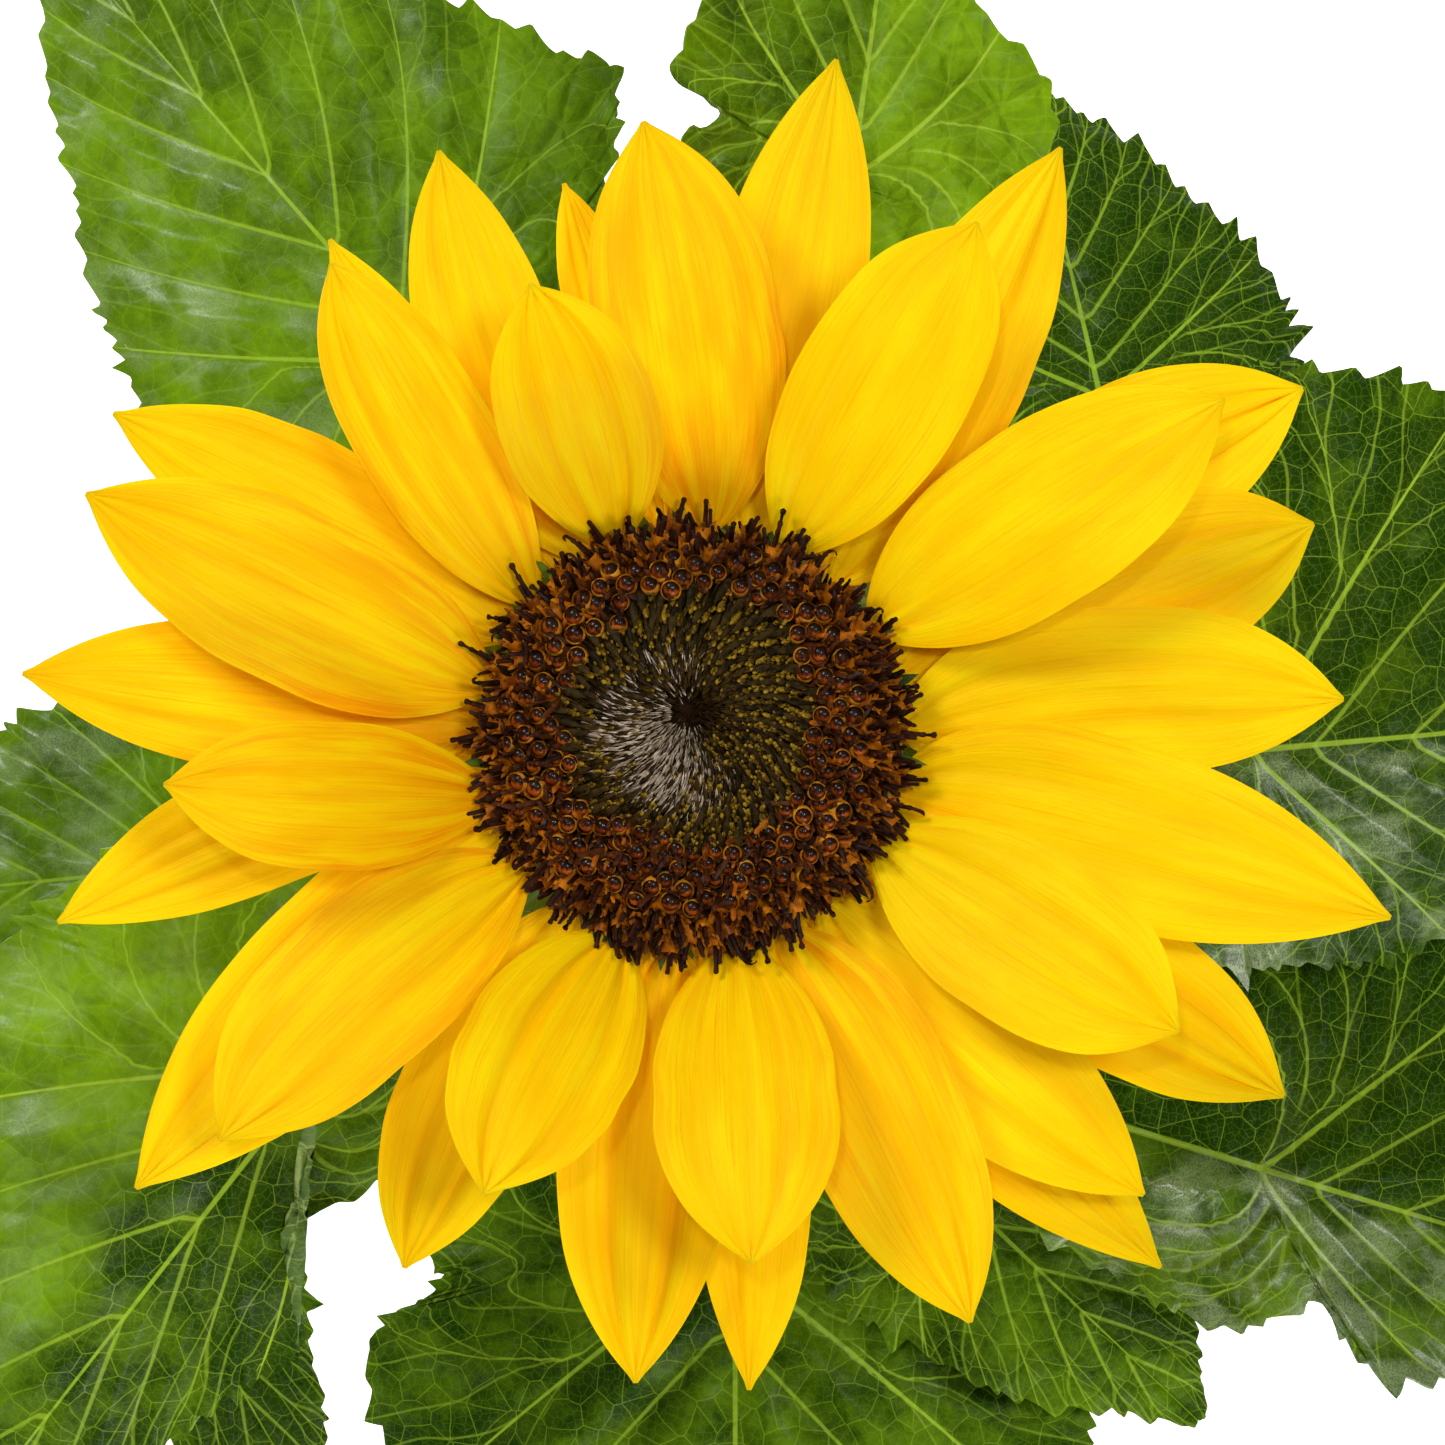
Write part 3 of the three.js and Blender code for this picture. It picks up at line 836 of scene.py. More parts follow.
@dataclass(frozen=True)
class RayFinish:
    """A ray floret: clear yellow that turns orange with ripeness and, as painted shade, on the rays that face
    away from the light, with fine lengthwise veins and painted shade in its pleats and tip crease.
    """

    name: str
    yellow: Colour = rgb(255, 208, 0)
    lemon: Colour = rgb(255, 222, 6)
    orange: Colour = rgb(240, 140, 0)
    rust: Colour = rgb(196, 96, 2)
    gloss: Gloss = Gloss(roughness=0.6, specular=0.04, scatter=0.2)
    line_strength: float = 0.22
    fold_shade_strength: float = 0.28
    crease_shade_strength: float = 0.36

    def material(self, groups: "Groups") -> bpy.types.Material:
        """Makes the material, which reads the attributes grain, ripe, fold and crease.

        Args:
            groups: the shared node groups.

        Returns:
            The material.
        """
        made, w, shader = new_material(self.name, self.gloss)
        grain = w.attribute("grain", "Vector")
        ripe_and_shade = w.attribute("ripe_and_shade")
        veins = w.use(groups.streaks, Vector=grain, Across=1.5, Along=0.02).outputs[0]
        hairlines = w.use(groups.streaks, Vector=grain, Across=4.5, Along=0.04).outputs[0]
        patches = w.use(
            groups.mottle, Vector=w.stretched(grain, (1.0, 0.25, 1.0)), Scale=0.2, First=self.yellow,
            Second=self.lemon, Speckle=0.1,
        )
        blotch = w.noise(w.stretched(grain, (0.55, 0.05, 1.0)), 1.0, 3.0, 0.5)
        drifts = w.ramp(w.maths("ADD", blotch, w.maths("MULTIPLY", hairlines, 0.5)), 0.55, 0.95)
        # Orange share: ripeness, and painted shade where it is raised on the rays that face away from the
        # light.
        ripe_and_shade_share = w.maths("MULTIPLY", ripe_and_shade, w.maths("MULTIPLY_ADD", drifts, 0.62, 0.25))
        base = w.mix(w.clamped(ripe_and_shade_share), patches.outputs["Color"], self.orange)
        base = w.over(base, w.ramp(hairlines, 0.52, 0.7), self.line_strength, self.orange)
        speck = w.ramp(w.noise(w.stretched(grain, (4.0, 2.2, 1.0)), 1.0, 1.0), 0.72, 0.8)
        base = w.over(base, speck, w.maths("MULTIPLY", ripe_and_shade, 0.5), self.rust)
        # Painted shade: orange in the pleats' hollows, where shade falls.
        base = w.over(base, w.attribute("fold_shade"), self.fold_shade_strength, self.orange)
        # Painted shade: rust along the crease at the tip.
        base = w.over(base, w.attribute("crease"), self.crease_shade_strength, self.rust)
        w.feed(shader, "Base Color", base)
        w.feed(shader, "Roughness", w.ramp(veins, 0.3, 0.7, 0.44, 0.6))
        soft = w.bump(veins, 0.00016, 0.8)
        w.feed(shader, "Normal", w.bump(hairlines, 0.00005, 0.7, Normal=soft))
        return made


@dataclass(frozen=True)
class LeafFinish:
    """A leaf face: green in patches, with pale main veins, a net of finer ones and a sheen in places, partly
    a real coat and partly painted sheen in the colour.
    """

    name: str
    dark: Colour
    bright: Colour
    vein: Colour
    # Painted sheen: a pale grey-green mixed into the colour where the leaf shines, standing in for reflected
    # light.
    painted_sheen_colour: Colour = rgb(148, 167, 116)
    speck: Colour = rgb(180, 198, 84)
    gloss: Gloss = Gloss(roughness=0.5, specular=0.03, coat_roughness=0.3)
    relief: float = 0.0001
    net_strength: float = 0.42
    halo_strength: float = 0.05
    side_vein_strength: float = 0.62
    main_vein_strength: float = 0.78
    speck_strength: float = 0.14
    mesh_size: float = 3.6
    fine_mesh_size: float = 1.1

    def material(self, groups: "Groups") -> bpy.types.Material:
        """Makes the material, which reads the attributes flat, veins, rib, basal, tone and shine.

        Args:
            groups: the shared node groups.

        Returns:
            The material.
        """
        made, w, shader = new_material(self.name, self.gloss)
        flat = w.attribute("flat", "Vector")
        side = w.use(groups.veins, Veins=w.attribute("veins", "Vector"))
        tone, shine = w.attribute("tone"), w.attribute("shine")
        patches = w.use(
            groups.mottle, Vector=flat, Scale=0.11, First=self.dark, Second=self.bright,
            Bias=tone, Spread=0.48, Speckle=0.34,
        )
        wide = w.use(groups.network, Vector=flat, Mesh_Size=self.mesh_size, Line=0.03)
        fine = w.use(groups.network, Vector=flat, Mesh_Size=self.fine_mesh_size, Line=0.08)
        net = w.ramp(tone, 0.1, 0.6, self.net_strength, self.net_strength * 0.45)
        basal = w.ramp(w.maths("ABSOLUTE", w.attribute("basal")), 0.6, 1.2, 1.0, 0.0)
        main = w.maths("MAXIMUM", w.ramp(w.attribute("rib"), 0.6, 1.15, 1.0, 0.0), basal)
        halo = w.ramp(side.outputs["Distance"], 0.3, 2.6, 1.0, 0.0)
        base = patches.outputs["Color"]
        for mask, share in (
            (fine.outputs["Lines"], w.maths("MULTIPLY", net, 0.35)), (halo, self.halo_strength),
            (wide.outputs["Lines"], net), (side.outputs["Forks"], net),
            (side.outputs["Lines"], self.side_vein_strength), (main, self.main_vein_strength),
        ):
            base = w.over(base, mask, share, self.vein)
        specks = w.ramp(w.noise(flat, 4.4, 2.0, 0.7), 0.58, 0.7)
        base = w.over(base, specks, self.speck_strength, self.speck)
        drift = w.ramp(w.noise(w.stretched(flat, (0.14, 0.08, 1.0)), 1.0, 4.0, 0.62), 0.46, 0.64)
        grain = w.ramp(w.noise(flat, 4.0, 2.0, 0.6), 0.35, 0.65, 0.35, 1.0)
        gloss_and_painted_sheen = w.maths("MULTIPLY", shine, grain)
        # Painted sheen in the colour; the coat weight below gives the real gloss.
        painted_sheen_mix = w.maths("MULTIPLY", w.maths("MULTIPLY", gloss_and_painted_sheen, drift), w.ramp(shine, 0.1, 0.65, 0.1, 0.68))
        base = w.mix(painted_sheen_mix, base, self.painted_sheen_colour)
        w.feed(shader, "Base Color", base)
        glossy = w.maths("MULTIPLY", gloss_and_painted_sheen, w.maths("MULTIPLY_ADD", drift, 0.7, 0.45))
        w.feed(shader, "Coat Weight", w.maths("MINIMUM", glossy, 1.0))
        uneven = w.ramp(
            w.noise(flat, 0.07, 3.0), 0.35, 0.65, self.gloss.roughness * 0.85, self.gloss.roughness * 1.2
        )
        w.feed(shader, "Roughness", w.maths("SUBTRACT", uneven, w.maths("MULTIPLY", shine, 0.1)))
        swell = w.maths("MULTIPLY", wide.outputs["Swell"], w.ramp(shine, 0.0, 1.0, 1.0, 0.5))
        low = w.bump(swell, self.relief * 3.6)
        mid = w.bump(fine.outputs["Swell"], self.relief * 0.4, 0.8, Normal=low)
        relief = w.noise(flat, 3.0, 3.0, 0.7)
        w.feed(shader, "Normal", w.bump(relief, self.relief * 0.3, 0.7, Normal=mid))
        return made


@dataclass(frozen=True)
class StalkFinish:
    """A green stalk: pale lengthwise ribs on a deeper green, with a faint flush."""

    name: str
    pale: Colour = rgb(165, 195, 95)
    deep: Colour = rgb(122, 160, 68)
    flush: Colour = rgb(120, 96, 60)
    gloss: Gloss = Gloss(roughness=0.48, specular=0.4)

    def material(self, groups: "Groups") -> bpy.types.Material:
        """Makes the material, which reads the attribute grain.

        Args:
            groups: the shared node groups.

        Returns:
            The material.
        """
        made, w, shader = new_material(self.name, self.gloss)
        grain = w.attribute("grain", "Vector")
        ribs = w.use(groups.streaks, Vector=grain, Across=1.1, Along=0.015).outputs[0]
        patches = w.use(
            groups.mottle, Vector=grain, Scale=0.2, First=self.deep, Second=self.pale, Speckle=0.3
        )
        base = w.mix(w.ramp(ribs, 0.4, 0.62), patches.outputs["Color"], self.pale)
        spots = w.ramp(w.noise(grain, 0.9, 3.0), 0.6, 0.78)
        base = w.over(base, spots, 0.25, self.flush)
        w.feed(shader, "Base Color", base)
        w.feed(shader, "Normal", w.bump(ribs, 0.00025, 0.8))
        return made


class Groups:
    """The shared node groups."""

    def __init__(self) -> None:
        """Builds each group once."""
        self.mottle = mottle_group()
        self.network = network_group()
        self.veins = vein_group()
        self.streaks = streak_group()


@dataclass
class PlantPart:
    """What the makers of the plant's parts share."""

    groups: Groups


# The ray florets.


class Row(Enum):
    """Where a ray floret stands in the head, from the front row to the back."""

    FRONT = 3
    MIDDLE = 2
    INNER = 1
    OUTER = 0
    BACK = -1


@dataclass(frozen=True)
class RayFloret:
    """One ray floret: its directions at base, middle and tip in degrees, its reach and width, and its set."""

    base: float
    middle: float
    tip: float
    reach: float
    width: float
    row: Row
    rise: float
    bend: float = 0.0
    # Orange share: ripeness, raised as painted shade on rays that face away from the light.
    ripe_and_shade: float = 0.3
    point: float = 0.6
    pleat: float = 1.0


F, M, I, O, B = Row.FRONT, Row.MIDDLE, Row.INNER, Row.OUTER, Row.BACK
# Each ray's orange share holds ripeness and also painted shade, higher on the left rays that face away from
# the light.
RAYS = (
    RayFloret(1, 6.4, 3.4, 72.8, 19.2, I, 5.5, ripe_and_shade=0.25, point=0.5),
    RayFloret(14, 18, 19, 73.7, 20.2, O, 1.5, ripe_and_shade=0.25, point=0.36, pleat=1.3),
    RayFloret(31, 32.5, 32.5, 69.6, 20, F, 16, ripe_and_shade=0.35),
    RayFloret(22, 31.5, 29.8, 79.3, 20.4, B, -3, ripe_and_shade=0.3, point=0.32, pleat=1.5),
    RayFloret(48, 54.5, 58, 77.7, 18, I, 5, 1, ripe_and_shade=0.4),
    RayFloret(63, 61.5, 61, 64.8, 19.2, F, 21, ripe_and_shade=0.3),
    RayFloret(74, 77.5, 78, 77.7, 17.5, O, 2, ripe_and_shade=0.3),
    RayFloret(85, 90.5, 94.5, 68.6, 20.6, M, 11, ripe_and_shade=0.95),
    RayFloret(98, 101, 103, 63.8, 9, O, 1, ripe_and_shade=0.6),
    RayFloret(112, 109.5, 109.5, 52.6, 17.6, F, 39, 3, ripe_and_shade=0.5, point=0.72, pleat=1.9),
    RayFloret(120, 118, 113.3, 71.3, 15.5, I, 6, ripe_and_shade=0.3),
    RayFloret(140, 131.5, 127.2, 65.6, 15.2, F, 19, ripe_and_shade=0.75),
    RayFloret(129.5, 128.5, 126, 69.1, 10, O, 1, ripe_and_shade=0.5),
    RayFloret(151, 149, 150.7, 74, 16.5, I, 5, ripe_and_shade=0.5),
    RayFloret(166, 160.7, 158, 72, 19.4, F, 15, ripe_and_shade=0.85),
    RayFloret(176.5, 174.5, 174.5, 75, 17.0, I, 5, ripe_and_shade=0.85),
    RayFloret(197, 189, 185, 57.8, 16.4, F, 34, 3, ripe_and_shade=1.0, point=0.75, pleat=1.1),
    RayFloret(187, 190.5, 196.2, 74, 14.6, O, 1.5, ripe_and_shade=0.4),
    RayFloret(207, 213.5, 219, 79.8, 20, I, 4.5, ripe_and_shade=0.3),
    RayFloret(217.5, 217, 220.4, 68.2, 19.2, F, 18, ripe_and_shade=0.7),
    RayFloret(234, 238, 241.5, 67.6, 16.6, O, 1.5, ripe_and_shade=0.3),
    RayFloret(250, 245.5, 245.5, 54.6, 19.4, F, 36, 2, ripe_and_shade=0.5, point=0.75, pleat=1.7),
    RayFloret(264.5, 263.5, 265, 72.2, 19.2, I, 5, ripe_and_shade=0.5, pleat=1.5),
    RayFloret(281.5, 278.5, 276.5, 57.8, 20.4, F, 31, 1, ripe_and_shade=0.55, point=0.68),
    RayFloret(273, 278, 275, 73.4, 13.5, O, 0.5, ripe_and_shade=0.45),
    RayFloret(293.5, 296.5, 295.5, 71.8, 19, M, 10, ripe_and_shade=0.75, pleat=1.5),
    RayFloret(301.5, 308, 311.5, 79.7, 17, B, -3, ripe_and_shade=0.2),
    RayFloret(309.5, 312, 314.7, 71.7, 17.6, I, 5, ripe_and_shade=0.25),
    RayFloret(321.5, 329.5, 328.8, 77.6, 18.4, O, 0.5, ripe_and_shade=0.3, point=0.36, pleat=1.6),
    RayFloret(331.5, 329.5, 329, 62.4, 20, F, 24, ripe_and_shade=0.3),
    RayFloret(345.5, 347.5, 345.6, 80, 20.6, M, 9, ripe_and_shade=0.42),
)


@dataclass
class RayCorolla(PlantPart):
    """All the ray florets."""

    thickness: float = 0.42
    claw_width: float = 2.4
    tip_width: float = 0.5
    level_foot: float = -1.6
    level_step: float = 1.02
    arch: float = 1.0
    arch_step: float = 0.85
    camber: float = 0.011
    half_way: float = 45.0
    columns: int = 36
    rows: int = 64
    rays: Sequence[RayFloret] = RAYS

    @staticmethod
    def fullness(along: Array, point: float) -> Array:
        """A ray floret's width along its length.

        Args:
            along: from 0 to 1 over its length.
            point: how slim its tip is.

        Returns:
            The width as a share of the widest.
        """
        bulge = np.maximum(np.sin(math.pi * along**0.86), 0.0)
        left = np.clip((1 - along) / 0.55, 0.0, 1.0)
        return np.where(along < 0.45, bulge**0.78, 1 - (1 - left) ** (1.25 + 1.3 / point))

    def shape(
        self, ray: RayFloret, across: Array, along: Array, rng: np.random.Generator
    ) -> tuple[Array, Array]:
        """Places the points of one ray floret.

        Args:
            ray: its directions and sizes.
            across: from -1 to 1 over its width.
            along: from 0 to 1 over its length.
            rng: the source of its folds.

        Returns:
            Its points and how far its folds lift them, in millimetres.
        """
        foot = COLLAR_RADIUS + 1.7 * GAP
        start, end = heading(ray.base) * foot, heading(ray.tip) * ray.reach
        half_way = min(self.half_way, (foot + ray.reach) / 2)
        control = 2 * heading(ray.middle) * half_way - 0.5 * start - 0.5 * end
        t = along[:, None]
        middle = start * (1 - t) ** 2 + control * 2 * t * (1 - t) + end * t**2
        way = unit(2 * (1 - t) * (control - start) + 2 * t * (end - control))
        least = self.claw_width * (1 - along) + self.tip_width * along
        edge = 1 + 0.018 * waves(along * 3 + np.sign(across), rng, 1, 4)
        half = np.maximum(ray.width * self.fullness(along, ray.point), least) / 2 * edge
        sideways = across * half
        level = ray.row.value
        rise = math.tan(math.radians(ray.rise)) * (ray.reach - foot) * along
        rise += (self.arch + self.arch_step * level) * np.sin(math.pi * along)
        rise += self.camber * np.cos(2.2 * along) * sideways**2
        rise -= ray.bend * smoothstep(along, 0.6, 1.2)
        lift = self.folds(across, along, half, rng) * ray.pleat
        rise += lift
        middle[:, 0] += way[:, 1] * sideways
        middle[:, 1] -= way[:, 0] * sideways
        middle[:, 2] = self.level_foot + self.level_step * level + rise
        return middle + HEAD, lift

    @staticmethod
    def folds(across: Array, along: Array, half: Array, rng: np.random.Generator) -> Array:
        """The pleats and small undulations of a ray floret.

        Args:
            across: from -1 to 1 over its width.
            along: from 0 to 1 over its length.
            half: half its width at each point.
            rng: the source of the small differences.

        Returns:
            How far they lift its face, in millimetres.
        """
        places = (-0.42 + rng.uniform(-0.08, 0.08), 0.38 + rng.uniform(-0.08, 0.08), rng.uniform(-0.06, 0.06))
        ends = (0.45 + 0.9 * np.abs(2 * along - 0.9) ** 1.6) * (1 - 0.4 * smoothstep(along, 0.72, 1.0))
        lift = np.zeros_like(across)
        for place, depth, breadth in zip(places, (0.52, 0.52, 0.3), (0.12, 0.12, 0.09)):
            lift -= depth * rng.uniform(0.6, 1.3) * np.exp(-(((across - place) / breadth) ** 2)) * ends
        lift += 0.16 * waves(across, rng, 3, 6) * np.sin(math.pi * np.clip(along, 0, 1)) ** 0.5
        lift += 0.05 * waves(across, rng, 8, 12)
        lift += 0.22 * waves(along, rng, 1, 3) * across * np.minimum(half / 8, 1)
        crease = np.exp(-((across / 0.16) ** 2)) * smoothstep(along, 0.82, 1.0)
        return (lift - 0.28 * crease) * np.minimum(half / 5.0, 1.0)

    def build(self) -> None:
        """Makes and dresses every ray floret, each in place of its solid."""
        finish = RayFinish("ray_yellow").material(self.groups)
        for index, ray in enumerate(self.rays):
            rng = np.random.default_rng(100 + index)
            piece = sheet(f"ray_floret_{index + 1:02d}", self.columns, self.rows)
            flat = points_of(piece)
            across, along = flat[:, 0], np.clip((flat[:, 1] + 1) / 2, 0.0, 1.0)
            along = along**1.05
            points, lift = self.shape(ray, across, along, rng)
            set_points(piece, points * MM)
            # How deep each point lies in a pleat's hollow, for painted shade there.
            set_scalar(piece, "fold_shade", np.clip(-lift / 0.7, 0, 1) * (1 - 0.65 * smoothstep(along, 0.7, 1.0)))
            set_vector(piece, "grain", across * ray.width / 2, along * ray.reach, index * 7.3)
            near_foot = np.exp(-along / 0.2)
            margin = np.abs(across) ** 3 * (1 - smoothstep(along, 0.35, 0.9))
            # Orange share: ripeness near the foot and margins, and painted shade on rays that face away from
            # the light.
            set_scalar(piece, "ripe_and_shade", np.clip(ray.ripe_and_shade * (0.42 + 0.85 * near_foot + 0.7 * margin), 0, 1))
            # Painted shade along the crease at each tip.
            tip_crease_shade = np.exp(-((np.abs(across) / 0.1) ** 2)) * smoothstep(along, 0.9, 1.0)
            set_scalar(piece, "crease", tip_crease_shade)
            thicken(piece, self.thickness, 1 - 0.6 * np.abs(across) ** 3, 0.0)
            shade(piece, 75.0)
            dress(piece, "petal", finish)
            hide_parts(f"petal_{index + 1:02d}")


# The disc.


DULL = Gloss(0.6, specular=0.1)
HAIRY = Gloss(0.45, specular=0.25)
WAXY = Gloss(0.5, specular=0.12)
SATIN = Gloss(0.5, specular=0.15)


class Tissue(Enum):
    """The finishes of the disc's parts."""

    BED = SpeckledFinish("disc_bed_brown", rgb(26, 14, 5), rgb(60, 30, 9), DULL, 700.0)
    THORN = SpeckledFinish(
        "thorn_green_black", rgb(22, 16, 5), rgb(62, 47, 16), DULL, 1300.0, 0.00006, variety=0.3
    )
    BRISTLE = SpeckledFinish("bristle_umber", rgb(34, 22, 6), rgb(74, 52, 16), HAIRY, 1500.0)
    # Painted sheen: a silvery colour that stands in for light glancing off the young bristles.
    SILVER = SpeckledFinish(
        "bristle_painted_sheen", rgb(134, 114, 92), rgb(226, 206, 182), Gloss(0.4, specular=0.4), 1500.0
    )
    MOSS = SpeckledFinish("bristle_olive", rgb(50, 40, 8), rgb(98, 76, 16), HAIRY, 1500.0)
    OLIVE_BUD = SpeckledFinish(
        "bud_olive", rgb(62, 46, 6), rgb(158, 124, 22), SATIN, 2100.0, 0.0001, variety=0.35
    )
    BROWN_BUD = SpeckledFinish(
        "bud_brown", rgb(44, 30, 6), rgb(104, 74, 14), SATIN, 2100.0, 0.0001, variety=0.3
    )
    # The globe's spot colour is painted shade, on each globe's side towards the light; the warm rest stands
    # in for light shining through.
    GLOBE = SpeckledFinish(
        "globe_red_brown", rgb(104, 38, 6), rgb(176, 82, 14),
        Gloss(0.4, specular=0.1, coat=0.22, coat_roughness=0.04), 900.0, 0.00002, spot=rgb(30, 12, 5),
    )
    RIM = SpeckledFinish(
        "rim_ochre", rgb(136, 80, 10), rgb(204, 136, 28), Gloss(0.45, specular=0.2), 900.0, variety=0.35
    )
    TUBE = SpeckledFinish("tube_amber", rgb(92, 42, 5), rgb(164, 86, 12), WAXY, 700.0, variety=0.35)
    SCALE_TIP = SpeckledFinish("scale_tip_dark", rgb(24, 11, 3), rgb(80, 36, 8), SATIN, 1200.0)
    COROLLA = SpeckledFinish("corolla_amber", rgb(108, 52, 5), rgb(200, 114, 12), WAXY, 700.0, variety=0.32)
    LOBE = SpeckledFinish("lobe_ochre", rgb(66, 31, 5), rgb(176, 104, 16), WAXY, 900.0, variety=0.3)
    STAMEN = SpeckledFinish(
        "stamen_black_brown", rgb(16, 7, 2), rgb(58, 24, 7), Gloss(0.55, specular=0.14), 1200.0, 0.00006
    )
    GREEN_FRINGE = SpeckledFinish("fringe_green", rgb(44, 62, 10), rgb(96, 112, 24), DULL, 500.0)
    BROWN_FRINGE = SpeckledFinish("fringe_brown", rgb(22, 12, 4), rgb(60, 34, 10), DULL, 500.0)


class Zone(Enum):
    """The rings of the disc, from its middle outwards, by where each one ends in millimetres."""

    YOUNG = 14.2
    GLOBES = 20.4


@dataclass
class Disc(PlantPart):
    """The disc: a bed, and florets in spirals that change from its middle to its rim."""

    radius: float = 23.9
    swirl: tuple[float, float] = (-0.3, 3.0)
    bed_drop: float = 2.6
    bristles_each: int = 13
    grains_each: int = 7
    lobes_each: int = 5
    seed: int = 7

    @staticmethod
    def height(radius: Array) -> Array:
        """The level of the florets' tips above the rim plane.

        Args:
            radius: distances from the middle, in millimetres.

        Returns:
            One level for each distance.
        """
        stations = (0, 2, 5, 9.5, 14.5, 18.6, 22.2, 23.8, 25)
        levels = (4.7, 5.2, 6.1, 6.5, 6.5, 7.0, 6.2, 5.0, 3.6)
        return np.interp(radius, stations, levels)

    @staticmethod
    def pitch(radius: Array | float) -> Array | float:
        """The spacing of neighbouring florets at a radius, in millimetres."""
        return np.interp(radius, (0, 5, 8, 12, 15, 19, 24), (1.25, 1.35, 1.5, 1.66, 2.2, 2.42, 2.45))

    def spiral(self) -> Array:
        """The florets' places in the spiral order of growth.

        Returns:
            An angle and a radius for each floret.
        """
        rows = []
        radius, count = 0.35, 0
        while radius < self.radius + 0.4:
            rows.append((count * GOLDEN_ANGLE, radius))
            area = 0.866 * self.pitch(radius) ** 2
            radius = math.sqrt(radius**2 + area / math.pi)
            count += 1
        return np.array(rows)

    def bed(self) -> None:
        """Makes the tissue that the florets stand on, from the collar's foot to the middle."""
        clear_selection()
        bpy.ops.mesh.primitive_uv_sphere_add(segments=64, ring_count=40, radius=1.0)
        piece = bpy.context.object
        piece.name = "disc_bed"
        ball = points_of(piece)
        level = np.arcsin(np.clip(ball[:, 2], -1, 1)) / (math.pi / 2)
        around = np.arctan2(ball[:, 1], ball[:, 0])
        upper = level >= 0
        radius = np.where(
            upper, (1 - level) * (COLLAR_RADIUS - 0.2), (1 + level) ** 0.3 * (COLLAR_RADIUS - 0.2)
        )
        top = self.height(radius) - self.bed_drop - 1.6 * smoothstep(radius, 19.5, COLLAR_RADIUS)
        side = np.clip(-level * 3.0, 0, 1)
        floor = top * (1 - side) + (COLLAR_FOOT + 0.1) * side
        z = np.where(upper, top, floor)
        points = polar(radius, around, z)
        set_points(piece, (points + HEAD) * MM)
        shade(piece, 60.0)
        dress(piece, "disc", Tissue.BED.value.material(self.groups))
        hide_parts("disc")

    def gathered(self, swarm: Swarm, name: str, angle: float, *tissues: Tissue) -> None:
        """Makes a swarm one piece of the disc.

        Args:
            swarm: the gathered copies.
            name: the piece's name.
            angle: the sharpest edge that is shaded smooth, in degrees.
            tissues: its finishes, in the order of their numbers.
        """
        piece = swarm.piece(name)
        shade(piece, angle)
        dress(piece, "disc", *(tissue.value.material(self.groups) for tissue in tissues))

    @staticmethod
    def globe(radius: float, height: float) -> Stencil:
        """A closed floret's swollen tip, with five shallow furrows that meet at its top.

        Args:
            radius: its radius, in millimetres.
            height: its height.

        Returns:
            Its shape.
        """
        clear_selection()
        bpy.ops.mesh.primitive_uv_sphere_add(segments=20, ring_count=12, radius=1.0)
        piece = bpy.context.object
        ball = points_of(piece)
        around = np.arctan2(ball[:, 1], ball[:, 0])
        furrow = 1 - 0.05 * (0.5 + 0.5 * np.cos(5 * around)) ** 3
        ball[:, :2] *= (radius * furrow)[:, None]
        ball[:, 2] = ball[:, 2] * height * 0.5 - height * 0.5
        set_points(piece, ball)
        return Stencil.taken_from(piece)

    @staticmethod
    def rim(inner: float, outer: float, tooth: float, depth: float) -> Stencil:
        """The corolla's edge round a closed floret: a thin collar with five low teeth.

        Args:
            inner: its inner radius, in millimetres.
            outer: its outer radius.
            tooth: the height of its teeth.
            depth: how deep it reaches.

        Returns:
            Its shape.
        """
        clear_selection()
        bpy.ops.mesh.primitive_torus_add(
            major_segments=20, minor_segments=4, major_radius=1.0, minor_radius=0.1
        )
        piece = bpy.context.object
        ring = points_of(piece)
        around = np.arctan2(ring[:, 1], ring[:, 0])
        reach = np.hypot(ring[:, 0], ring[:, 1])
        share = (reach - 0.9) / 0.2
        radius = inner + (outer - inner) * share
        teeth = tooth * (0.5 + 0.5 * np.cos(5 * around + math.pi))
        z = np.where(ring[:, 2] > 0.01, teeth, 0.0) - np.where(ring[:, 2] < -0.01, depth, 0.0)
        z -= depth * 0.3 * share
        set_points(piece, polar(radius, around, z))
        return Stencil.taken_from(piece)

    @staticmethod
    def leaning(angle: Array, tilt: Array, turn: Array) -> Array:
        """Unit axes of florets that lean outwards by a tilt, and sideways by a turn, in radians."""
        level = polar(1.0, angle + turn, np.zeros_like(angle))
        return level * np.sin(tilt)[:, None] + UP * np.cos(tilt)[:, None]

    def places(self, angle: Array, radius: Array, lift: Array) -> Array:
        """Points over the disc, a lift above the level of the tips."""
        return HEAD + polar(radius, angle, self.height(radius) + lift)

    def towards_swirl(self, angle: Array, radius: Array) -> tuple[Array, Array, Array]:
        """Where places lie as seen from the swirl.

        Args:
            angle: the florets' places round the disc, in radians.
            radius: their distances from its middle, in millimetres.

        Returns:
            Their distances from it, and the level directions towards it and to the side of that.
        """
        x, y = radius * np.cos(angle), radius * np.sin(angle)
        gap = np.stack([self.swirl[0] - x, self.swirl[1] - y, np.zeros_like(x)], -1)
        distance = np.linalg.norm(gap, axis=1)
        way = unit(gap)
        side = np.stack([-way[:, 1], way[:, 0], np.zeros_like(x)], -1)
        flow = unit(way - (0.35 * smoothstep(distance, 4.0, 11.0))[:, None] * side)
        return distance, flow, np.stack([-flow[:, 1], flow[:, 0], np.zeros_like(x)], -1)

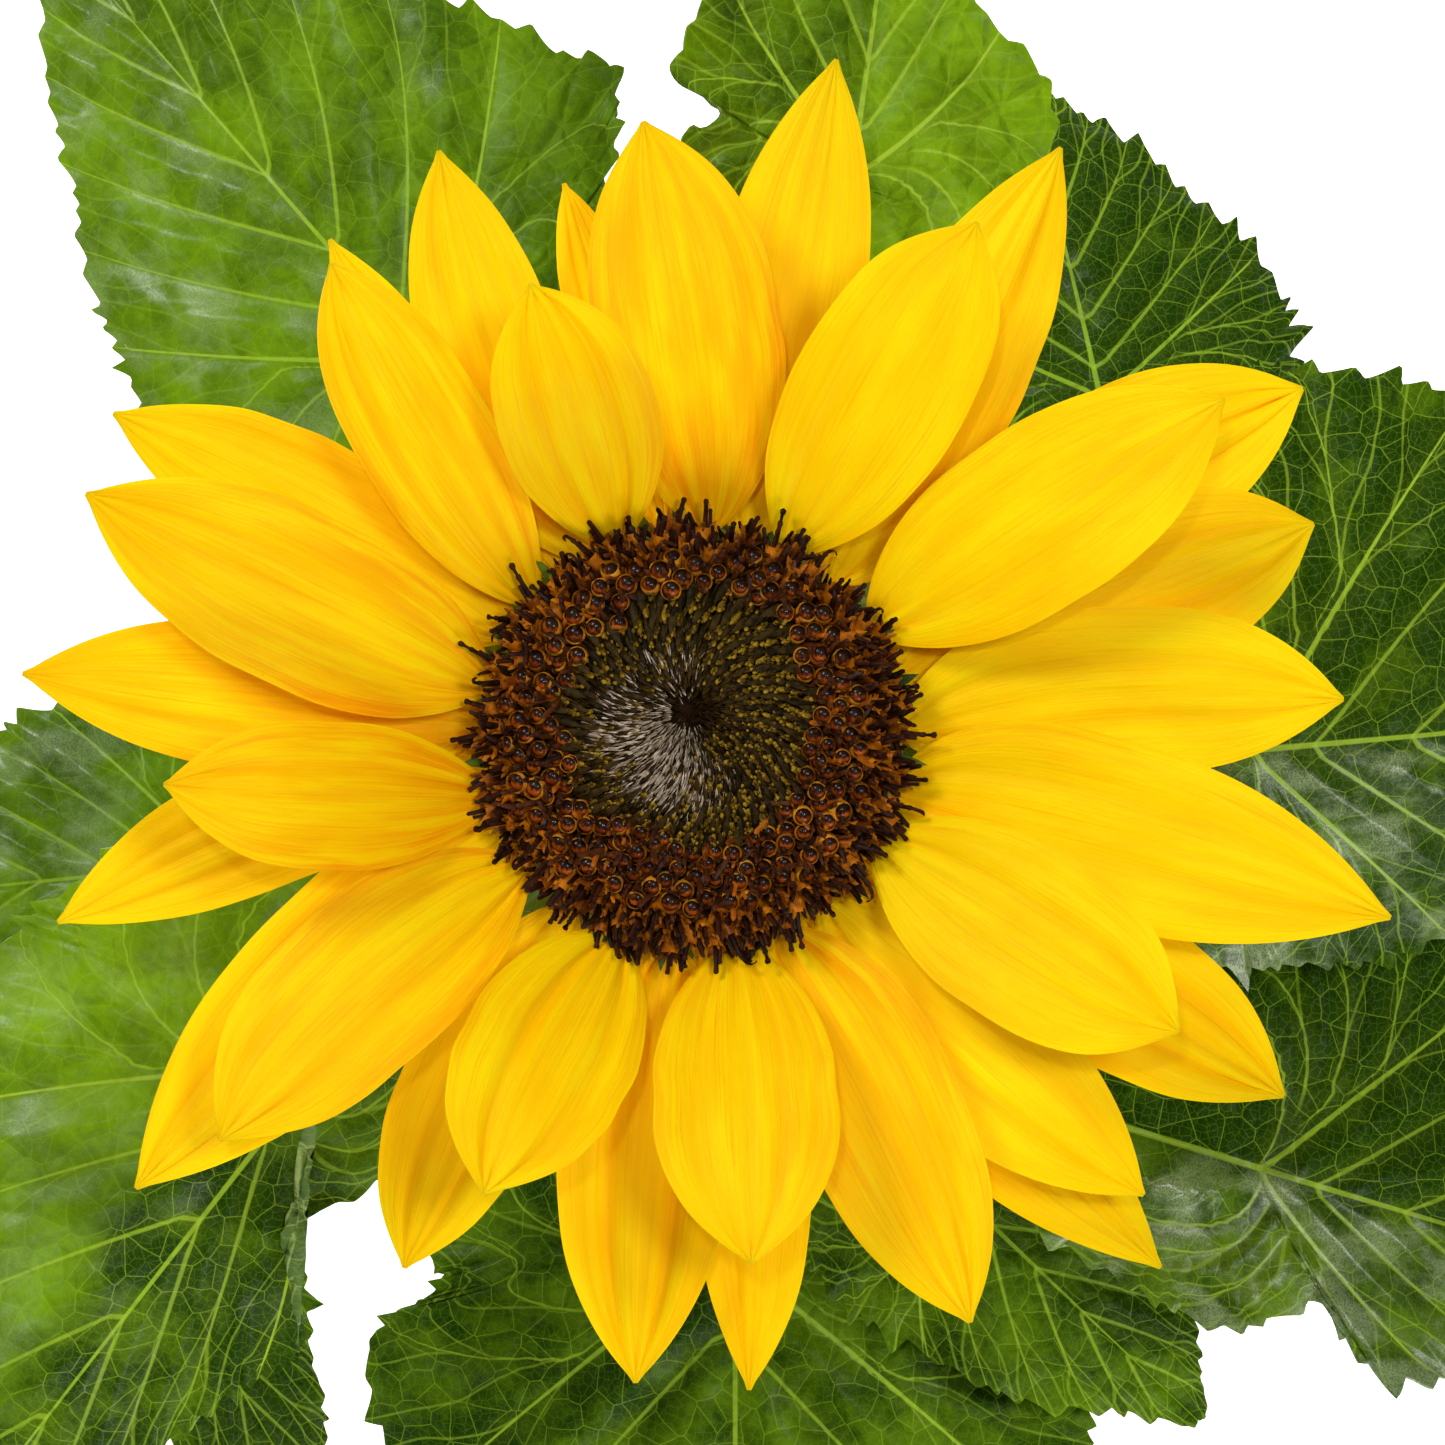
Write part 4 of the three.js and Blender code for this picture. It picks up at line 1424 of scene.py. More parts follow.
    @staticmethod
    def lying(flow: Array, slope: Array) -> Array:
        """Frames of scales that lie over along a flow.

        Args:
            flow: a level direction for each.
            slope: how far each leans from upright, in radians.

        Returns:
            One 3 by 3 matrix for each.
        """
        axes = unit(flow * np.sin(slope)[:, None] + UP * np.cos(slope)[:, None])
        side = unit(np.cross(axes, flow))
        return np.stack([np.cross(-side, axes), -side, axes], -1)

    def painted_sheen_share(self, angle: Array, radius: Array) -> Array:
        """How much painted sheen the young scales get, as a silvery finish: most to the lower left of the
        swirl.

        Args:
            angle: the florets' places round the disc, in radians.
            radius: their distances from its middle, in millimetres.

        Returns:
            One share for each.
        """
        x, y = radius * np.cos(angle) - self.swirl[0], radius * np.sin(angle) - self.swirl[1]
        distance, way = np.hypot(x, y), np.arctan2(y, x)
        main = smoothstep(np.cos(way - math.radians(230)), 0.05, 0.85) * smoothstep(distance, 0.8, 2.6)
        main *= 1 - smoothstep(distance, 9.0, 14.0)
        return main + 0.28 * smoothstep(np.cos(way - math.radians(118)), 0.5, 1.0) * (distance < 8)

    def build_thorns(self, angle: Array, radius: Array, rng: np.random.Generator) -> None:
        """The young florets' main scales: a dark thorn on each, lying over towards the swirl.

        Args:
            angle: the florets' places round the disc, in radians.
            radius: their distances from its middle, in millimetres.
            rng: the source of the small differences.
        """
        thorn = drawn_out(
            6, ((-0.8, 0.3, 0), (0.5, 0.44, 0.03), (1.5, 0.34, 0.1), (2.3, 0.17, 0.24), (2.9, 0.01, 0.42))
        )
        swarm = Swarm()
        count = len(angle)
        distance, flow, _ = self.towards_swirl(angle, radius)
        spacing = self.pitch(radius)
        course = unit(flow + rng.normal(0, 0.07, (count, 3)) * np.array([1, 1, 0]))
        slope = np.radians(np.interp(distance, (0, 1.5, 5, 10, 15), (8, 40, 63, 60, 50)))
        slope += rng.normal(0, 0.06, count)
        base = self.places(angle, radius, rng.uniform(-1.25, -1.0, count)) - flow * (0.7 * spacing)[:, None]
        base[:, 2] -= 1.0 * np.exp(-((distance / 2.4) ** 2))
        grow = spacing / 1.62 * rng.uniform(0.88, 1.08, count)
        slim = np.interp(distance, (0, 4, 9), (0.45, 0.8, 1.0))
        sizes = np.stack([grow * 0.6, grow * slim, grow * np.interp(distance, (0, 3), (0.6, 1.0))], -1)
        swarm.add(thorn, base, self.lying(course, slope), sizes)
        self.gathered(swarm, "disc_thorns", 50.0, Tissue.THORN)

    def build_tufts(self, angle: Array, radius: Array, rng: np.random.Generator) -> None:
        """The young florets' hairs: a small fan of bristles on each, partly in a silvery finish that is
        painted sheen.

        Args:
            angle: the florets' places round the disc, in radians.
            radius: their distances from its middle, in millimetres.
            rng: the source of the small differences.
        """
        bristle = drawn_out(4, ((0, 0.09, 0), (0.9, 0.11, 0.03), (1.7, 0.08, 0.12), (2.3, 0.01, 0.26)))
        swarm = Swarm()
        distance, flow, side = self.towards_swirl(angle, radius)
        spacing = self.pitch(radius)
        index = np.repeat(np.arange(len(angle)), self.bristles_each)
        count = len(index)
        fan = np.tile(np.linspace(-1, 1, self.bristles_each), len(angle)) + rng.normal(0, 0.14, count)
        # pale is the share of painted sheen, the silvery finish that stands in for light glancing off the
        # hairs.
        pale = self.painted_sheen_share(angle, radius)[index]
        kept = rng.random(count) < np.interp(distance[index], (0, 4, 9, 14), (1.0, 1.0, 0.75, 0.5)) + pale
        index, fan, pale = index[kept], fan[kept], pale[kept]
        count = len(index)
        base = self.places(angle, radius, np.zeros(len(angle)))[index]
        ahead = spacing[index] * (-0.55 + 0.18 * np.abs(fan)) + rng.normal(0, 0.14, count)
        base += flow[index] * ahead[:, None]
        base += side[index] * (fan * spacing[index] * 0.48)[:, None]
        base[:, 2] += rng.uniform(-1.5, -1.2, count) - 0.6 * np.exp(-((distance[index] / 2.4) ** 2))
        base[:, 2] += 0.42 * np.minimum(pale, 1) - 0.2 * np.abs(fan)
        slope = np.radians(np.interp(distance[index], (0, 1.5, 5, 10, 15), (6, 36, 60, 57, 46)))
        slope += rng.normal(0, 0.09, count)
        aside = 0.18 * fan + rng.normal(0, 0.09, count)
        frames = self.lying(unit(flow[index] - side[index] * aside[:, None]), slope)
        grow = np.interp(radius[index], (0, 5, 14), (0.62, 0.82, 1.0)) * rng.uniform(0.8, 1.15, count)
        sizes = np.stack([grow * 0.7, grow, grow], -1)
        choice = rng.random(count)
        olive = 0.06 + 0.2 * smoothstep(radius[index], 5, 12)
        # Finish 1 is the painted sheen.
        finish = np.where(choice < 0.88 * pale, 1, np.where(choice > 1 - olive * (1 - pale), 2, 0))
        swarm.add(bristle, base, frames, sizes, finish)
        self.gathered(swarm, "disc_bristles", 40.0, Tissue.BRISTLE, Tissue.SILVER, Tissue.MOSS)

    def build_buds(self, angle: Array, radius: Array, rng: np.random.Generator) -> None:
        """The closed buds and olive grains that peep out between the thorns.

        Args:
            angle: the florets' places round the disc, in radians.
            radius: their distances from its middle, in millimetres.
            rng: the source of the small differences.
        """
        bud = drawn_out(
            8,
            (
                (-2.0, 0.5, 0), (-0.9, 0.62, 0), (0.0, 0.6, 0), (0.6, 0.48, 0.04), (0.95, 0.26, 0.08),
                (1.05, 0.02, 0.1),
            ),
        )
        swarm = Swarm()
        distance, flow, side = self.towards_swirl(angle, radius)
        # Fewer buds show where the scales carry painted sheen.
        shown = (distance > 3.6) & (rng.random(len(angle)) > 0.75 * self.painted_sheen_share(angle, radius))
        angle, radius, distance, flow, side = (v[shown] for v in (angle, radius, distance, flow, side))
        count = len(angle)
        spacing = self.pitch(radius)
        places = self.places(angle, radius, np.interp(distance, (4, 8, 14), (-1.5, -1.0, -0.75)))
        aside = 0.5 * spacing + rng.normal(0, 0.08, count)
        places += side * aside[:, None] - flow * (0.1 * spacing)[:, None]
        places[:, 2] += rng.normal(0, 0.12, count)
        course = unit(flow + rng.normal(0, 0.12, (count, 3)) * np.array([1, 1, 0]))
        slope = np.radians(np.interp(distance, (4, 10, 15), (52, 46, 32))) + rng.normal(0, 0.08, count)
        grow = (np.interp(radius, (4, 14), (0.62, 1.02)) * rng.uniform(0.85, 1.12, count))[:, None]
        frames = self.lying(course, slope)
        swarm.add(bud, places, frames, grow * np.array([[0.66, 0.6, 0.9]]))
        grain = drawn_out(
            6, ((-0.34, 0.02, 0), (-0.2, 0.2, 0), (0.1, 0.24, 0), (0.3, 0.16, 0), (0.4, 0.02, 0))
        )
        for _ in range(self.grains_each):
            strewn = places - flow * rng.uniform(-0.75, 0.95, (count, 1))
            strewn += side * rng.normal(0, 0.34, (count, 1))
            strewn[:, 2] += rng.uniform(0.0, 0.75, count)
            size = rng.uniform(0.6, 1.15, (count, 1))
            swarm.add(grain, strewn, frames, size, np.where(rng.random(count) < 0.3, 1, 0))
        self.gathered(swarm, "disc_buds", 50.0, Tissue.OLIVE_BUD, Tissue.BROWN_BUD)

    def build_globes(self, angle: Array, radius: Array, rng: np.random.Generator) -> None:
        """Florets about to open: glossy globes in thin ochre rims, with dark scale tips between.

        Args:
            angle: the florets' places round the disc, in radians.
            radius: their distances from its middle, in millimetres.
            rng: the source of the small differences.
        """
        globe = self.globe(0.97, 1.7)
        rim = self.rim(0.96, 1.15, 0.16, 1.6)
        tube = drawn_out(8, ((-4.0, 0.8, 0), (-1.7, 1.0, 0), (-1.05, 1.1, 0), (-1.0, 0.3, 0)))
        tip = drawn_out(
            5,
            (
                (-1.6, 0.3, 0), (-0.5, 0.36, 0.05), (0.4, 0.27, 0.16), (0.9, 0.3, 0.28), (1.15, 0.18, 0.36),
                (1.25, 0.02, 0.4),
            ),
        )
        swarm = Swarm()
        count = len(angle)
        tilt = np.interp(radius, (13, 18, 21, 24), (0.0, 0.12, 0.42, 0.75)) + rng.normal(0, 0.12, count)
        axes = self.leaning(angle, tilt, rng.normal(0, 0.2, count))
        frames = frames_along(axes, rng.uniform(0, 6.28, count))
        angle = angle + rng.normal(0, 0.012, count)
        places = self.places(angle, radius + rng.normal(0, 0.2, count), rng.uniform(-0.6, 0.35, count))
        grow = (np.interp(radius, (14, 20), (0.92, 1.08)) * rng.uniform(0.84, 1.08, count))[:, None]
        # Painted light and shade: each globe is darkened on the side towards the light above, and stays warm
        # on the far side as if lit through.
        painted_shade_side = unit(np.array([0.1, 0.62, 0.78]))
        swarm.add(
            globe, places, frames, grow,
            mark=lambda outward: smoothstep(outward @ painted_shade_side + 0.12 * np.sin(outward[..., 0] * 9), 0.24, 0.6),
        )
        seat = places + np.array([-0.12, -0.14, -0.2]) + rng.normal(0, 0.05, (count, 3))
        swarm.add(rim, seat, frames, grow, 1)
        swarm.add(tube, places, frames, grow, 2)
        for turn, out in ((1.15, 0.7), (-1.2, 0.2), (0.1, 1.25), (0.3, -1.2)):
            spin = angle + turn / radius + rng.normal(0, 0.02, count)
            lean = polar(0.45, spin, np.ones(count))
            lean = unit(lean + rng.normal(0, 0.45, (count, 3)))
            swarm.add(
                tip, self.places(spin, radius + out, rng.uniform(-1.0, 0.0, count)),
                frames_along(lean, rng.uniform(0, 6.28, count)),
                rng.uniform(0.7, 1.2, (count, 1)), np.where(rng.random(count) < 0.12, 2, 3),
            )
        tissues = (Tissue.GLOBE, Tissue.RIM, Tissue.TUBE, Tissue.SCALE_TIP)
        self.gathered(swarm, "disc_globes", 50.0, *tissues)

    def build_open(self, angle: Array, radius: Array, rng: np.random.Generator) -> None:
        """The open outer florets: amber tubes with dark anthers and stigmas.

        Args:
            angle: the florets' places round the disc, in radians.
            radius: their distances from its middle, in millimetres.
            rng: the source of the small differences.
        """
        tube = drawn_out(
            8,
            ((-4.2, 0.7, 0), (-1.8, 0.95, 0), (-0.4, 1.05, 0), (0.4, 1.14, 0), (0.1, 0.7, 0), (-0.9, 0.3, 0)),
        )
        lobe = drawn_out(4, ((0.0, 0.34, 0.0), (0.6, 0.34, 0.10), (1.1, 0.22, 0.34), (1.4, 0.03, 0.6)))
        anther = drawn_out(
            6,
            (
                (-1.2, 0.34, 0), (0.6, 0.38, 0), (1.7, 0.33, 0.04), (2.3, 0.3, 0.1), (2.65, 0.4, 0.13),
                (2.9, 0.3, 0.15), (2.95, 0.04, 0.15),
            ),
        )
        stigma = drawn_out(
            6,
            (
                (1.8, 0.2, 0.04), (3.0, 0.2, 0.14), (3.5, 0.24, 0.22), (3.75, 0.42, 0.27), (4.05, 0.42, 0.3),
                (4.25, 0.08, 0.3),
            ),
        )
        curl = drawn_out(
            6,
            (
                (1.8, 0.24, 0.04), (3.0, 0.26, 0.2), (3.7, 0.28, 0.6), (4.0, 0.3, 1.15), (3.9, 0.22, 1.7),
                (3.6, 0.05, 2.0),
            ),
        )
        scale = drawn_out(
            5, ((-2.0, 0.4, 0), (0.0, 0.42, 0.1), (1.1, 0.3, 0.24), (1.7, 0.28, 0.36), (2.0, 0.03, 0.44))
        )
        swarm = Swarm()
        count = len(angle)
        tilt = np.interp(radius, (18, 20.5, 22.5, 24.2), (0.35, 0.72, 1.0, 1.2)) + rng.normal(0, 0.2, count)
        axes = self.leaning(angle, tilt, rng.normal(0, 0.28, count))
        turns = rng.uniform(0, 6.28, count)
        frames = frames_along(axes, turns)
        places = self.places(angle, radius, rng.uniform(-1.2, -0.5, count))
        swarm.add(tube, places, frames, np.full((count, 1), 0.98))
        for k in range(self.lobes_each):
            around = turns + k * 2 * math.pi / self.lobes_each
            spot = frames_along(axes, around)
            grown = rng.uniform(0.5, 1.0, (count, 1))
            swarm.add(
                lobe, places + 0.85 * spot[:, :, 0], spot, grown, np.where(rng.random(count) < 0.3, 2, 1)
            )
        long = rng.uniform(0.7, 1.2, count)
        stretch = np.stack([np.full(count, 0.84), np.full(count, 0.84), long], -1)
        swarm.add(anther, places, frames, stretch, 2)
        swarm.add(anther, places - 0.55 * frames[:, :, 0], frames, stretch * np.array([[0.8, 0.8, 0.7]]), 2)
        fate = rng.random(count)
        for shape, chosen in ((stigma, fate < 0.3), (curl, fate > 0.9)):
            swarm.add(shape, places[chosen], frames[chosen], stretch[chosen], 2)
        for turn, out in ((1.2, 0.4), (-1.1, -0.6)):
            spin = angle + turn / radius
            lean = self.leaning(spin, tilt * 0.85, rng.normal(0, 0.45, count))
            swarm.add(
                scale, self.places(spin, radius + out, rng.uniform(-1.3, -0.5, count)),
                frames_along(lean, turns),
                rng.uniform(0.6, 1.05, (count, 1)), np.where(rng.random(count) < 0.1, 0, 2),
            )
        self.gathered(swarm, "disc_open_florets", 50.0, Tissue.COROLLA, Tissue.LOBE, Tissue.STAMEN)

    def build_fringe(self, rng: np.random.Generator) -> None:
        """The pointed tips of the outermost scales, which lie on the rays' claws.

        Args:
            rng: the source of the small differences.
        """
        scale = drawn_out(5, ((-3.0, 1.0, 0), (0.0, 0.85, 0), (1.6, 0.5, 0.1), (3.0, 0.04, 0.3)))
        angle = np.radians((28, 15, -6, 60, 98, 131, 152, 186, 209, 222, 247, 262, 285, 318, 338))
        count = len(angle)
        radius = np.full(count, 24.0) + rng.uniform(-0.8, 0.2, count)
        axes = self.leaning(
            angle, np.full(count, 1.28) + rng.normal(0, 0.06, count), rng.normal(0, 0.1, count)
        )
        side = unit(np.cross(UP, axes))
        frames = np.stack([np.cross(side, axes), side, axes], -1)
        places = HEAD + polar(radius, angle, rng.uniform(2.6, 3.6, count))
        sizes = np.stack(
            [np.full(count, 0.3), rng.uniform(0.8, 1.1, count), rng.uniform(0.7, 1.1, count)], -1
        )
        swarm = Swarm()
        swarm.add(scale, places, frames, sizes, (np.arange(count) % 5 > 2).astype(int))
        self.gathered(swarm, "disc_fringe", 50.0, Tissue.GREEN_FRINGE, Tissue.BROWN_FRINGE)

    def build(self) -> None:
        """Makes the bed and the rings of florets."""
        rng = np.random.default_rng(self.seed)
        self.bed()
        angle, radius = self.spiral().T
        x, y = radius * np.cos(angle), radius * np.sin(angle)
        uneven = 0.5 * np.sin(3 * angle + 1.0) + rng.normal(0, 0.3, len(angle))
        inner = np.hypot(x + 0.2, y - 2.4) + uneven
        edge = np.hypot(x + 0.3, y - 0.7) + uneven
        young = inner < Zone.YOUNG.value
        globes = ~young & (edge < Zone.GLOBES.value)
        outer = ~young & ~globes
        self.build_thorns(angle[young], radius[young], rng)
        self.build_tufts(angle[young], radius[young], rng)
        self.build_buds(angle[young], radius[young], rng)
        self.build_globes(angle[globes], radius[globes], rng)
        self.build_open(angle[outer], radius[outer], rng)
        self.build_fringe(rng)
        log.info("disc: %d florets", len(angle))


# The involucre.


@dataclass(frozen=True)
class Whorl:
    """One ring of bracts."""

    length: float
    width: float
    height: float
    rise: float
    turn: float

    def half(self, along: Array) -> Array:
        """Half the width of its bracts at shares of their length."""
        return self.width / 2 * np.minimum(1, 0.75 + 2 * along) * (1 - along) ** 0.9

    def level(self, along: Array) -> Array:
        """The height of its bracts' midlines at shares of their length."""
        return self.height + math.tan(math.radians(self.rise)) * (self.length * along) - 2.4 * along**2


@dataclass
class Involucre(PlantPart):
    """The green bowl under the disc and its two whorls of pointed bracts."""

    count: int = 13
    thickness: float = 0.8
    bract_foot: float = RECEPTACLE_RADIUS - 4.5
    hairs_each: int = 60
    whorls: Sequence[Whorl] = (Whorl(33, 9.5, -11.2, 5, 0.0), Whorl(31, 9.5, -9.4, 7, 0.5))

    @staticmethod
    def bowl() -> bpy.types.Object:
        """Makes the receptacle's bowl, closed, with its seat under the disc.

        Returns:
            The new piece.
        """
        outline = np.array([
            (0, -16.3), (7.2, -16.3), (9.5, -14.4), (12, -12.8), (15, -11.6), (20.5, -10.2),
            (23.6, -9.2), (23.6, -6.4), (21.5, -8.1), (0, -8.3),
        ])
        piece = column("receptacle_bowl", 72, 40)
        flat = points_of(piece)
        along = (flat[:, 2] + 1) / 2
        lengths = np.concatenate([[0], np.cumsum(np.linalg.norm(np.diff(outline, axis=0), axis=1))])
        at = (0.01 + 0.98 * along) * lengths[-1]
        radius = np.interp(at, lengths, outline[:, 0])
        z = np.interp(at, lengths, outline[:, 1])
        around = np.arctan2(flat[:, 1], flat[:, 0])
        radius = radius * (1 + 0.012 * np.cos(13 * around))
        set_points(piece, (polar(radius, around, z) + HEAD) * MM)
        set_vector(piece, "grain", around * 20, at, 0.0)
        return piece

    def directions(self, whorl: Whorl, index: int) -> tuple[Array, Array]:
        """The level directions along a bract and to its left."""
        direction = (index + whorl.turn) * 360 / self.count
        return heading(direction), heading(direction + 90)

    def bract(self, whorl: Whorl, index: int) -> bpy.types.Object:
        """Makes one bract: an oval blade drawn out to a long point, keeled and ribbed.

        Args:
            whorl: its ring.
            index: its number there.

        Returns:
            The new piece.
        """
        rng = np.random.default_rng(int(500 + index + whorl.turn * 100))
        out, side = self.directions(whorl, index)
        piece = sheet(f"bract_{int(whorl.turn * 2)}_{index}", 14, 36)
        flat = points_of(piece)
        across, along = flat[:, 0], np.clip((flat[:, 1] + 1) / 2, 0, 1)
        half = (whorl.half(along) + 0.12) * (1 + 0.03 * waves(along * 2, rng, 2, 5))
        distance = whorl.length * along
        z = whorl.level(along) + 0.05 * (across * half) ** 2
        z = z - 0.5 * np.exp(-((across / 0.12) ** 2)) * (1 - along)
        z = z + 0.12 * waves(across, rng, 3, 6) * (1 - along) + 0.7 * waves(along, rng, 1, 2) * along
        sway = 1.2 * waves(along, rng, 1, 2) * along**2
        points = out * (self.bract_foot + distance)[:, None]
        points = points + side * (-across * half + sway)[:, None]
        points[:, 2] = z
        set_points(piece, (points + HEAD) * MM)
        set_vector(piece, "grain", across * 4.5, distance, index * 3.1)
        thicken(piece, self.thickness, 1 - 0.7 * np.abs(across) ** 2, 0.0)
        return piece

    def build(self) -> None:
        """Makes the bowl and bracts as one piece, and the fringe of hairs on them."""
        parts = [self.bowl()]
        for whorl in self.whorls:
            parts += [self.bract(whorl, index) for index in range(self.count)]
        clear_selection()
        for part in parts:
            part.select_set(True)
        bpy.context.view_layer.objects.active = parts[0]
        bpy.ops.object.join()
        piece = bpy.context.object
        piece.name = "involucre"
        piece.data.name = "involucre"
        shade(piece, 60.0)
        finish = StalkFinish("bract_green", rgb(128, 160, 66), rgb(70, 116, 36), rgb(96, 110, 52), Gloss(0.5))
        dress(piece, "bract", finish.material(self.groups))
        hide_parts("receptacle")
        rng = np.random.default_rng(31)
        swarm = Swarm()
        for whorl in self.whorls:
            for index in range(self.count):
                out, side = self.directions(whorl, index)
                along = rng.uniform(0.15, 0.97, self.hairs_each)
                sign = np.sign(rng.uniform(-1, 1, self.hairs_each))
                half = whorl.half(along)
                places = out * (self.bract_foot + whorl.length * along)[:, None]
                places += side * (sign * half)[:, None]
                places[:, 2] = whorl.level(along) + 0.05 * half**2
                axes = side * sign[:, None] + out * 0.7
                axes += UP * rng.uniform(-0.4, 0.5, self.hairs_each)[:, None]
                frames = frames_along(unit(axes), rng.uniform(0, 6, self.hairs_each))
                swarm.add(stiff_hair(), places + HEAD, frames, rng.uniform(0.7, 1.3, (self.hairs_each, 1)))
        fringe = swarm.piece("bract_hairs")
        pale = SpeckledFinish("hair_pale", rgb(205, 214, 170), rgb(228, 232, 200), Gloss(0.4), 1500.0)
        dress(fringe, "bract", pale.material(self.groups))


# The stem.


def hair_finish(name: str) -> SpeckledFinish:
    """The finish of the stem's and the stalks' stiff hairs."""
    return SpeckledFinish(name, rgb(208, 216, 178), rgb(230, 234, 206), Gloss(0.4), 1500.0)


@dataclass
class Stem(PlantPart):
    """The main stem, ribbed, with stiff hairs."""

    sides: int = 48
    rings: int = 160
    ribs: int = 14
    hair_count: int = 900

    def build(self) -> None:
        """Makes the stem and its hairs."""
        piece = column("stem_skin", self.sides, self.rings)
        flat = points_of(piece)
        along = np.clip((flat[:, 2] + 1) / 2, 0, 1)
        height = STEM_TOP * along**1.2
        around = np.arctan2(flat[:, 1], flat[:, 0])
        inside = np.hypot(flat[:, 0], flat[:, 1])
        rng = np.random.default_rng(11)
        relief = 1 + 0.018 * np.cos(self.ribs * around + 0.004 * height)
        relief += 0.012 * waves(around / math.pi, rng, 3, 8) + 0.01 * waves(height / 60, rng, 1, 6)
        relief += 0.03 * np.cos(5 * around + 0.8) * np.exp(-height / 14)
        radius = stem_radius(height) * relief * inside
        middle = stem_middle(height)
        points = middle + polar(radius, around, np.zeros_like(radius))
        set_points(piece, points * MM)
        set_vector(piece, "grain", around * 6.5, height, 0.0)
        shade(piece, 60.0)
        dress(piece, "stem", StalkFinish("stem_green").material(self.groups))
        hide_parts("stem")
        self.hairs(rng)

    def hairs(self, rng: np.random.Generator) -> None:
        """Makes the stiff pale hairs over the stem, shorter towards the foot.

        Args:
            rng: the source of the small differences.
        """
        swarm = Swarm()
        height = STEM_TOP * rng.uniform(0.02, 0.985, self.hair_count)
        around = rng.uniform(0, 2 * math.pi, self.hair_count)
        out = polar(1.0, around, np.zeros_like(around))
        places = stem_middle(height) + out * (stem_radius(height) * 0.985)[:, None]
        axes = unit(out + UP * rng.uniform(-0.5, 0.3, self.hair_count)[:, None])
        sizes = np.interp(height, (0, STEM_TOP), (0.8, 1.7))[:, None]
        sizes = sizes * rng.uniform(0.6, 1.2, (self.hair_count, 1))
        swarm.add(stiff_hair(), places, frames_along(axes, around), sizes * np.array([[0.9, 0.9, 1.0]]))
        piece = swarm.piece("stem_hairs")
        dress(piece, "stem", hair_finish("stem_hair_pale").material(self.groups))


# The leaves and their stalks.


@dataclass(frozen=True)
class Bay:
    """A bay in a leaf's margin: its side, its place along the outline, its breadth there and its depth."""

    side: float
    along: float
    breadth: float
    depth: float


@dataclass(frozen=True)
class LeafPlan:
    """One leaf, as the source's table has it, with its green, its swellings and the bays in its margin."""

    x: float
    y: float
    drop: float
    climb: float
    axis: float
    length: float
    left: float
    right: float
    pitch: float
    droop: float
    rise_left: float
    rise_right: float
    curl: float
    wave: float
    # tone and tone_right set each leaf's green, partly its own colour and partly painted shade: darker on the
    # lower, shaded leaves and halves, lighter on the lit ones.
    tone: float = 0.5
    tone_right: float = 0.0
    bulge: float = 1.0
    tooth: float = 1.0
    # shine sets the coat's real gloss and also how much painted sheen is mixed into the leaf's colour.
    shine: float = 0.12
    shine_right: float = 0.0
    right_from: float = -0.1
    shoulder_left: float = 0.0
    shoulder_right: float = 0.0
    lobe: float = 1.0
    closed: float = 0.0
    bays: tuple[Bay, ...] = ()


LEFT, RIGHT = -1.0, 1.0
LEAVES = (
    LeafPlan(
        18, 62, 35, 28, 82, 62, 20, 21, 4, 42, 18, 4, 0.15, 2.2,
        tone=0.35, tone_right=0.45, lobe=1.7, closed=3.6,
        bays=(Bay(RIGHT, 0.61, 0.08, 0.38), Bay(LEFT, 0.405, 0.022, 0.25)),
    ),
    LeafPlan(
        -41, -35, 45, 24, 232, 100, 13.5, 36, 6, 40, -30, 8, 0.1, 2.6,
        tone=0.13, tone_right=0.6, right_from=0.14, bulge=1.05, shine=0.2, shine_right=0.22,
        shoulder_left=-1.2,
        bays=(Bay(LEFT, 0.463, 0.035, 0.5), Bay(LEFT, 0.545, 0.025, -0.22)),
    ),
    LeafPlan(
        61, -2, 50, 24, 5, 88, 43, 26, 4, 45, 6, -35, 0.15, 2.4,
        tone=-0.02, bulge=1.3, tooth=1.2, shine=0.05, shine_right=1.1, closed=3.6,
    ),
    LeafPlan(
        64, -51, 76, 24, -17, 86, 36, 19, 0, 38, -12, 12, 0.1, 3.4,
        tone=-0.16, tone_right=0.38, bulge=1.2, shine=0.08, shine_right=1.1, lobe=1.7, closed=4.0,
        bays=(Bay(RIGHT, 0.445, 0.04, 0.33),),
    ),
    LeafPlan(26, -50, 90, 32, -44, 54, 23, 18, -2, 30, 16, 8, 0.1, 1.6, tone=0.22, bulge=0.8),
    LeafPlan(
        5, -58, 100, 34, 270, 112, 42, 45, 4, 46, 3, 0, 0.2, 3.0,
        tone=0.3, tone_right=-0.13, tooth=0.9, shoulder_left=-0.7, bays=(Bay(RIGHT, 0.375, 0.03, 0.2),),
    ),
    LeafPlan(
        -30, 43, 110, 34, 131, 86, 31, 35, 8, 40, -10, 8, 0.15, 2.6,
        tone=0.6, tone_right=-0.12, bulge=1.15, tooth=0.8, shine=0.62, shine_right=-0.35, shoulder_right=0.85,
        bays=(Bay(RIGHT, 0.6, 0.15, -0.22), Bay(RIGHT, 0.46, 0.03, -0.1), Bay(RIGHT, 0.33, 0.06, 0.32)),
    ),
    LeafPlan(
        53, 41, 140, 36, 103, 48, 20, 26, 6, 40, -4, -6, 0.3, 2.2,
        tone=-0.13, bulge=1.1, tooth=1.35, shine=0.4, shine_right=-0.3,
    ),
    LeafPlan(-32, 24, 168, 34, 141, 56, 17, 21, 4, 44, 6, 4, 0.2, 1.6, tone=0.85, bulge=0.8),
    LeafPlan(-62, -17, 190, 40, 186, 66, 23, 25, 4, 50, 4, 8, 0.2, 1.8, tone=0.5, bulge=1.7, shine=0.85),
    LeafPlan(-80, -61, 222, 42, 297, 62, 16, 18, 2, 46, 4, 6, 0.2, 1.8, tone=0.12, bulge=0.9),
)


